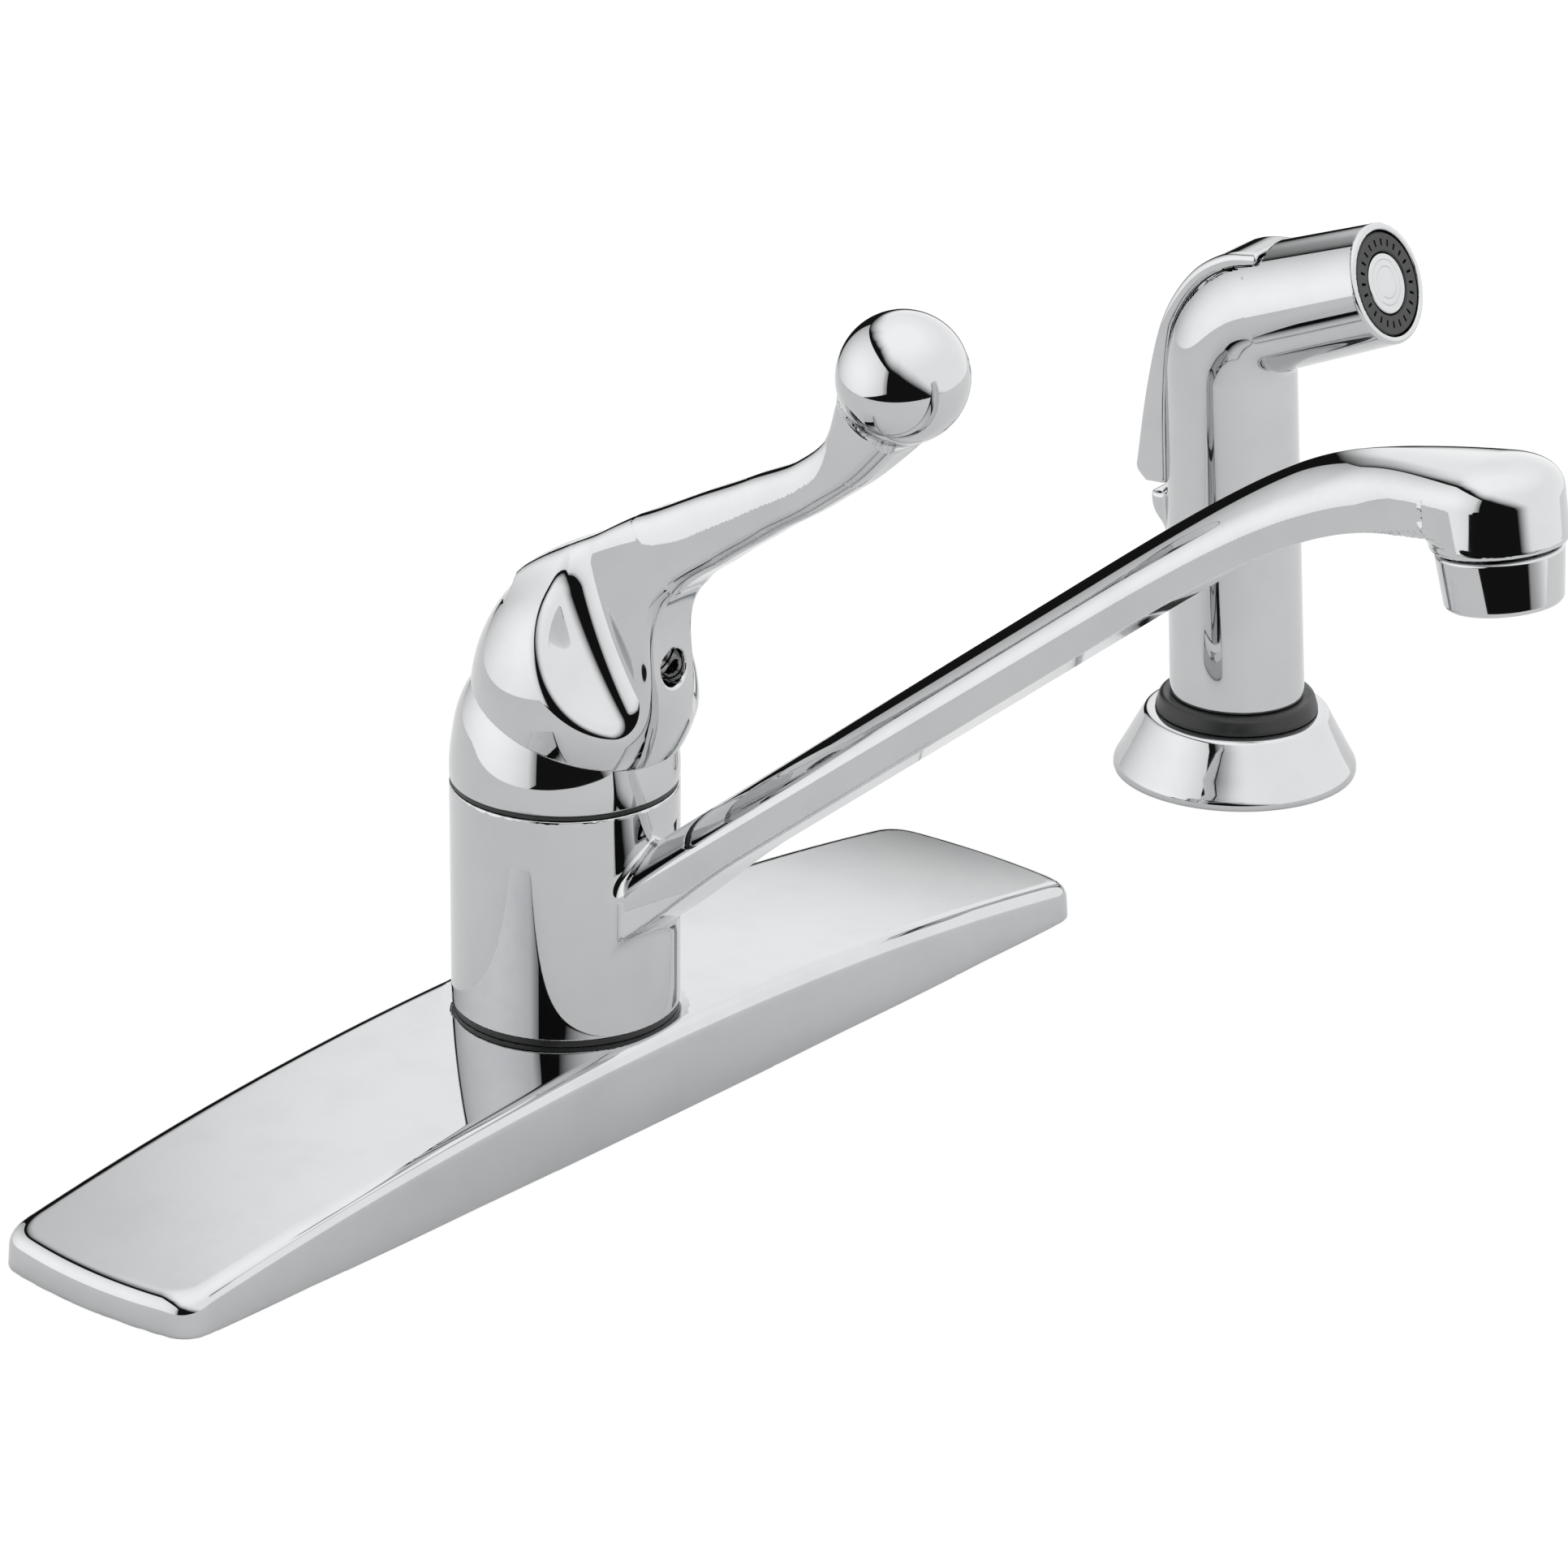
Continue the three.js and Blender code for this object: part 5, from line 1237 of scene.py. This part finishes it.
@dataclass
class Studio:
    """Pale floor, two large soft cards with a dark gap between them, and the camera."""

    view: tuple[float, float, float] = (-49.648, 22.539, 0.418)
    view_offset: tuple[float, float] = (40.07, 54.68)
    view_distance: float = 1332.11
    focal_pixels: float = 8908.8
    photo_pixels: int = 1932
    sensor: float = 36.0
    heart: tuple[float, float, float] = (0.0, -78.0, 155.0)
    overhead_light: float = 1.5
    side_light: float = 1.48
    side_aim: tuple[float, float] = (-132.0, 8.0)
    side_spread: float = 68.0
    dome_radius: float = 1500.0
    card_azimuth: float = -140.0
    card_distance: float = 1200.0
    floor_centre: tuple[float, float] = (280.0, -20.0)
    floor_radius: float = 630.0
    # Lower edge of the large card as it shows from the knob: azimuth from the front, and elevation.
    edge: tuple = (
        (-180, 42), (-150, 51), (-120, 52), (-100, 45), (-75, 30), (-60, 23), (-30, 2), (-15, -8), (0, -18),
        (60, -20), (110, -10), (122, -3), (126, 0.3), (130, 2.4), (145, 18), (160, 28), (180, 42),
    )
    # Width in degrees over which the card fades at that edge.
    fade: tuple = ((-180, 20), (-150, 15), (-120, 15), (-75, 26), (-60, 30), (-30, 30), (0, 16), (30, 5),
                   (110, 8), (122, 11.5), (131, 10.5), (143, 13.5), (147, 17.6), (151, 22.7), (180, 20))

    def direction(self, azimuth: float, elevation: float) -> Vector:
        """Unit vector for an azimuth from the front (-Y, positive towards +X) and an elevation."""
        a, e = math.radians(azimuth), math.radians(elevation)
        return Vector((math.sin(a) * math.cos(e), -math.cos(a) * math.cos(e), math.sin(e)))

    def large_card(self) -> None:
        """Card that curves over the object from the right."""
        around, rise = 120, 48
        mesh = bmesh.new()
        bmesh.ops.create_grid(mesh, x_segments=around, y_segments=rise, size=0.5)
        glow = mesh.verts.layers.float.new("glow")
        for vert in mesh.verts:
            azimuth = -180 + 360 * (vert.co.x + 0.5)
            low = np.interp(azimuth, *zip(*self.edge))
            share = vert.co.y + 0.5
            elevation = low + (90 - low) * share**1.5
            t = min((elevation - low) / np.interp(azimuth, *zip(*self.fade)), 1)
            high = min(max((elevation - 30) / 40, 0), 1)
            vert[glow] = (0.02 + 0.98 * t * (2 - t)) * (0.86 + 0.14 * high)
            vert.co = Vector(self.heart) + self.direction(azimuth, elevation) * self.dome_radius
        card("card_overhead", mesh, self.overhead_light)

    def side_card(self) -> None:
        """Upright card at the left."""
        mesh = bmesh.new()
        bmesh.ops.create_grid(mesh, x_segments=60, y_segments=40, size=0.5)
        glow = mesh.verts.layers.float.new("glow")
        out = self.direction(self.card_azimuth, 0)
        across = Vector((-out.y, out.x, 0))
        reach = self.card_distance * math.tan(math.radians(62.5))
        low, high = -0.42 * self.card_distance, 1.02 * self.card_distance
        for vert in mesh.verts:
            u, v = vert.co.x * 2, vert.co.y + 0.5
            spot = out * self.card_distance + across * (u * reach) + Vector((0, 0, low + (high - low) * v))
            aim = spot.normalized()
            away = math.degrees(aim.angle(self.direction(*self.side_aim))) / self.side_spread
            end = math.degrees(math.atan2(aim.x, -aim.y)) + 77
            edge = min(abs(end) / 9, 1)
            vert[glow] = max(1.02 - away**2 * 0.58, 0.4) * (0.35 + 0.65 * edge)
            vert.co = Vector(self.heart) + spot
        card("card_side", mesh, self.side_light)

    def floor(self) -> None:
        """Pale floor that the camera sees as white, with the object's soft shadow."""
        mesh = bmesh.new()
        bmesh.ops.create_circle(mesh, cap_ends=True, segments=128, radius=self.floor_radius)
        bmesh.ops.translate(mesh, vec=(*self.floor_centre, -0.05), verts=mesh.verts)
        made = object_from("floor", mesh)
        material, tree = empty_tree(bpy.data.materials, "pale_floor")
        paint = add_node(tree, "ShaderNodeBsdfDiffuse", {"Color": linear("#e4e4e4")})
        white = add_node(tree, "ShaderNodeEmission", {"Strength": 1.06})
        seen = add_node(tree, "ShaderNodeLightPath").outputs["Is Camera Ray"]
        share = add_node(tree, "ShaderNodeMath", {"operation": "MULTIPLY", 1: 0.88}, {0: seen})
        mix = add_node(tree, "ShaderNodeMixShader", None,
                       {0: share.outputs[0], 1: paint.outputs[0], 2: white.outputs[0]})
        add_node(tree, "ShaderNodeOutputMaterial", None, {"Surface": mix.outputs[0]})
        made.data.materials.append(material)

    def world(self) -> None:
        """White for the camera, and nearly black behind the gaps between the cards."""
        bpy.context.scene.world, tree = empty_tree(bpy.data.worlds, "studio")
        seen = add_node(tree, "ShaderNodeLightPath").outputs["Is Camera Ray"]
        dark = add_node(tree, "ShaderNodeBackground", {"Color": (1, 1, 1, 1), "Strength": 0.01})
        white = add_node(tree, "ShaderNodeBackground", {"Color": (1, 1, 1, 1), "Strength": 1.0})
        mix = add_node(tree, "ShaderNodeMixShader", None, {0: seen, 1: dark.outputs[0], 2: white.outputs[0]})
        add_node(tree, "ShaderNodeOutputWorld", None, {"Surface": mix.outputs[0]})

    def camera(self) -> None:
        """Camera at the photograph's viewing angle."""
        azimuth, roll = math.radians(self.view[0]), math.radians(self.view[2])
        back = self.direction(*self.view[:2])
        level = Vector((math.cos(azimuth), math.sin(azimuth), 0))
        above = back.cross(level)
        right = math.cos(roll) * level + math.sin(roll) * above
        up = -math.sin(roll) * level + math.cos(roll) * above
        data = bpy.data.cameras.new("camera")
        data.sensor_width = self.sensor
        data.lens = self.sensor * self.focal_pixels / self.photo_pixels
        made = bpy.data.objects.new("camera", data)
        turn = Matrix((right, up, back)).transposed().to_4x4()
        place = back * self.view_distance + right * self.view_offset[0] + up * self.view_offset[1]
        made.matrix_world = Matrix.Translation(place * MM) @ turn
        bpy.context.scene.collection.objects.link(made)
        bpy.context.scene.camera = made

    def build(self) -> None:
        """Sets up the whole studio."""
        self.camera()
        self.floor()
        self.world()
        self.large_card()
        self.side_card()
        bpy.context.scene.view_settings.view_transform = "Standard"


def main() -> None:
    """Builds every sub-assembly around the frame."""
    logging.basicConfig(level=logging.INFO, format="%(message)s")
    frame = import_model()
    shop = Workshop(frame)
    shop.dress_nodes()
    Studio().build()
    spray = SprayFrame()
    for assembly in (DeckPlate(), Bonnet(), Spout(), Handle(), SprayHolder(spray), Sprayer(spray, Trigger())):
        assembly.build(shop)


if __name__ == "__main__":
    main()
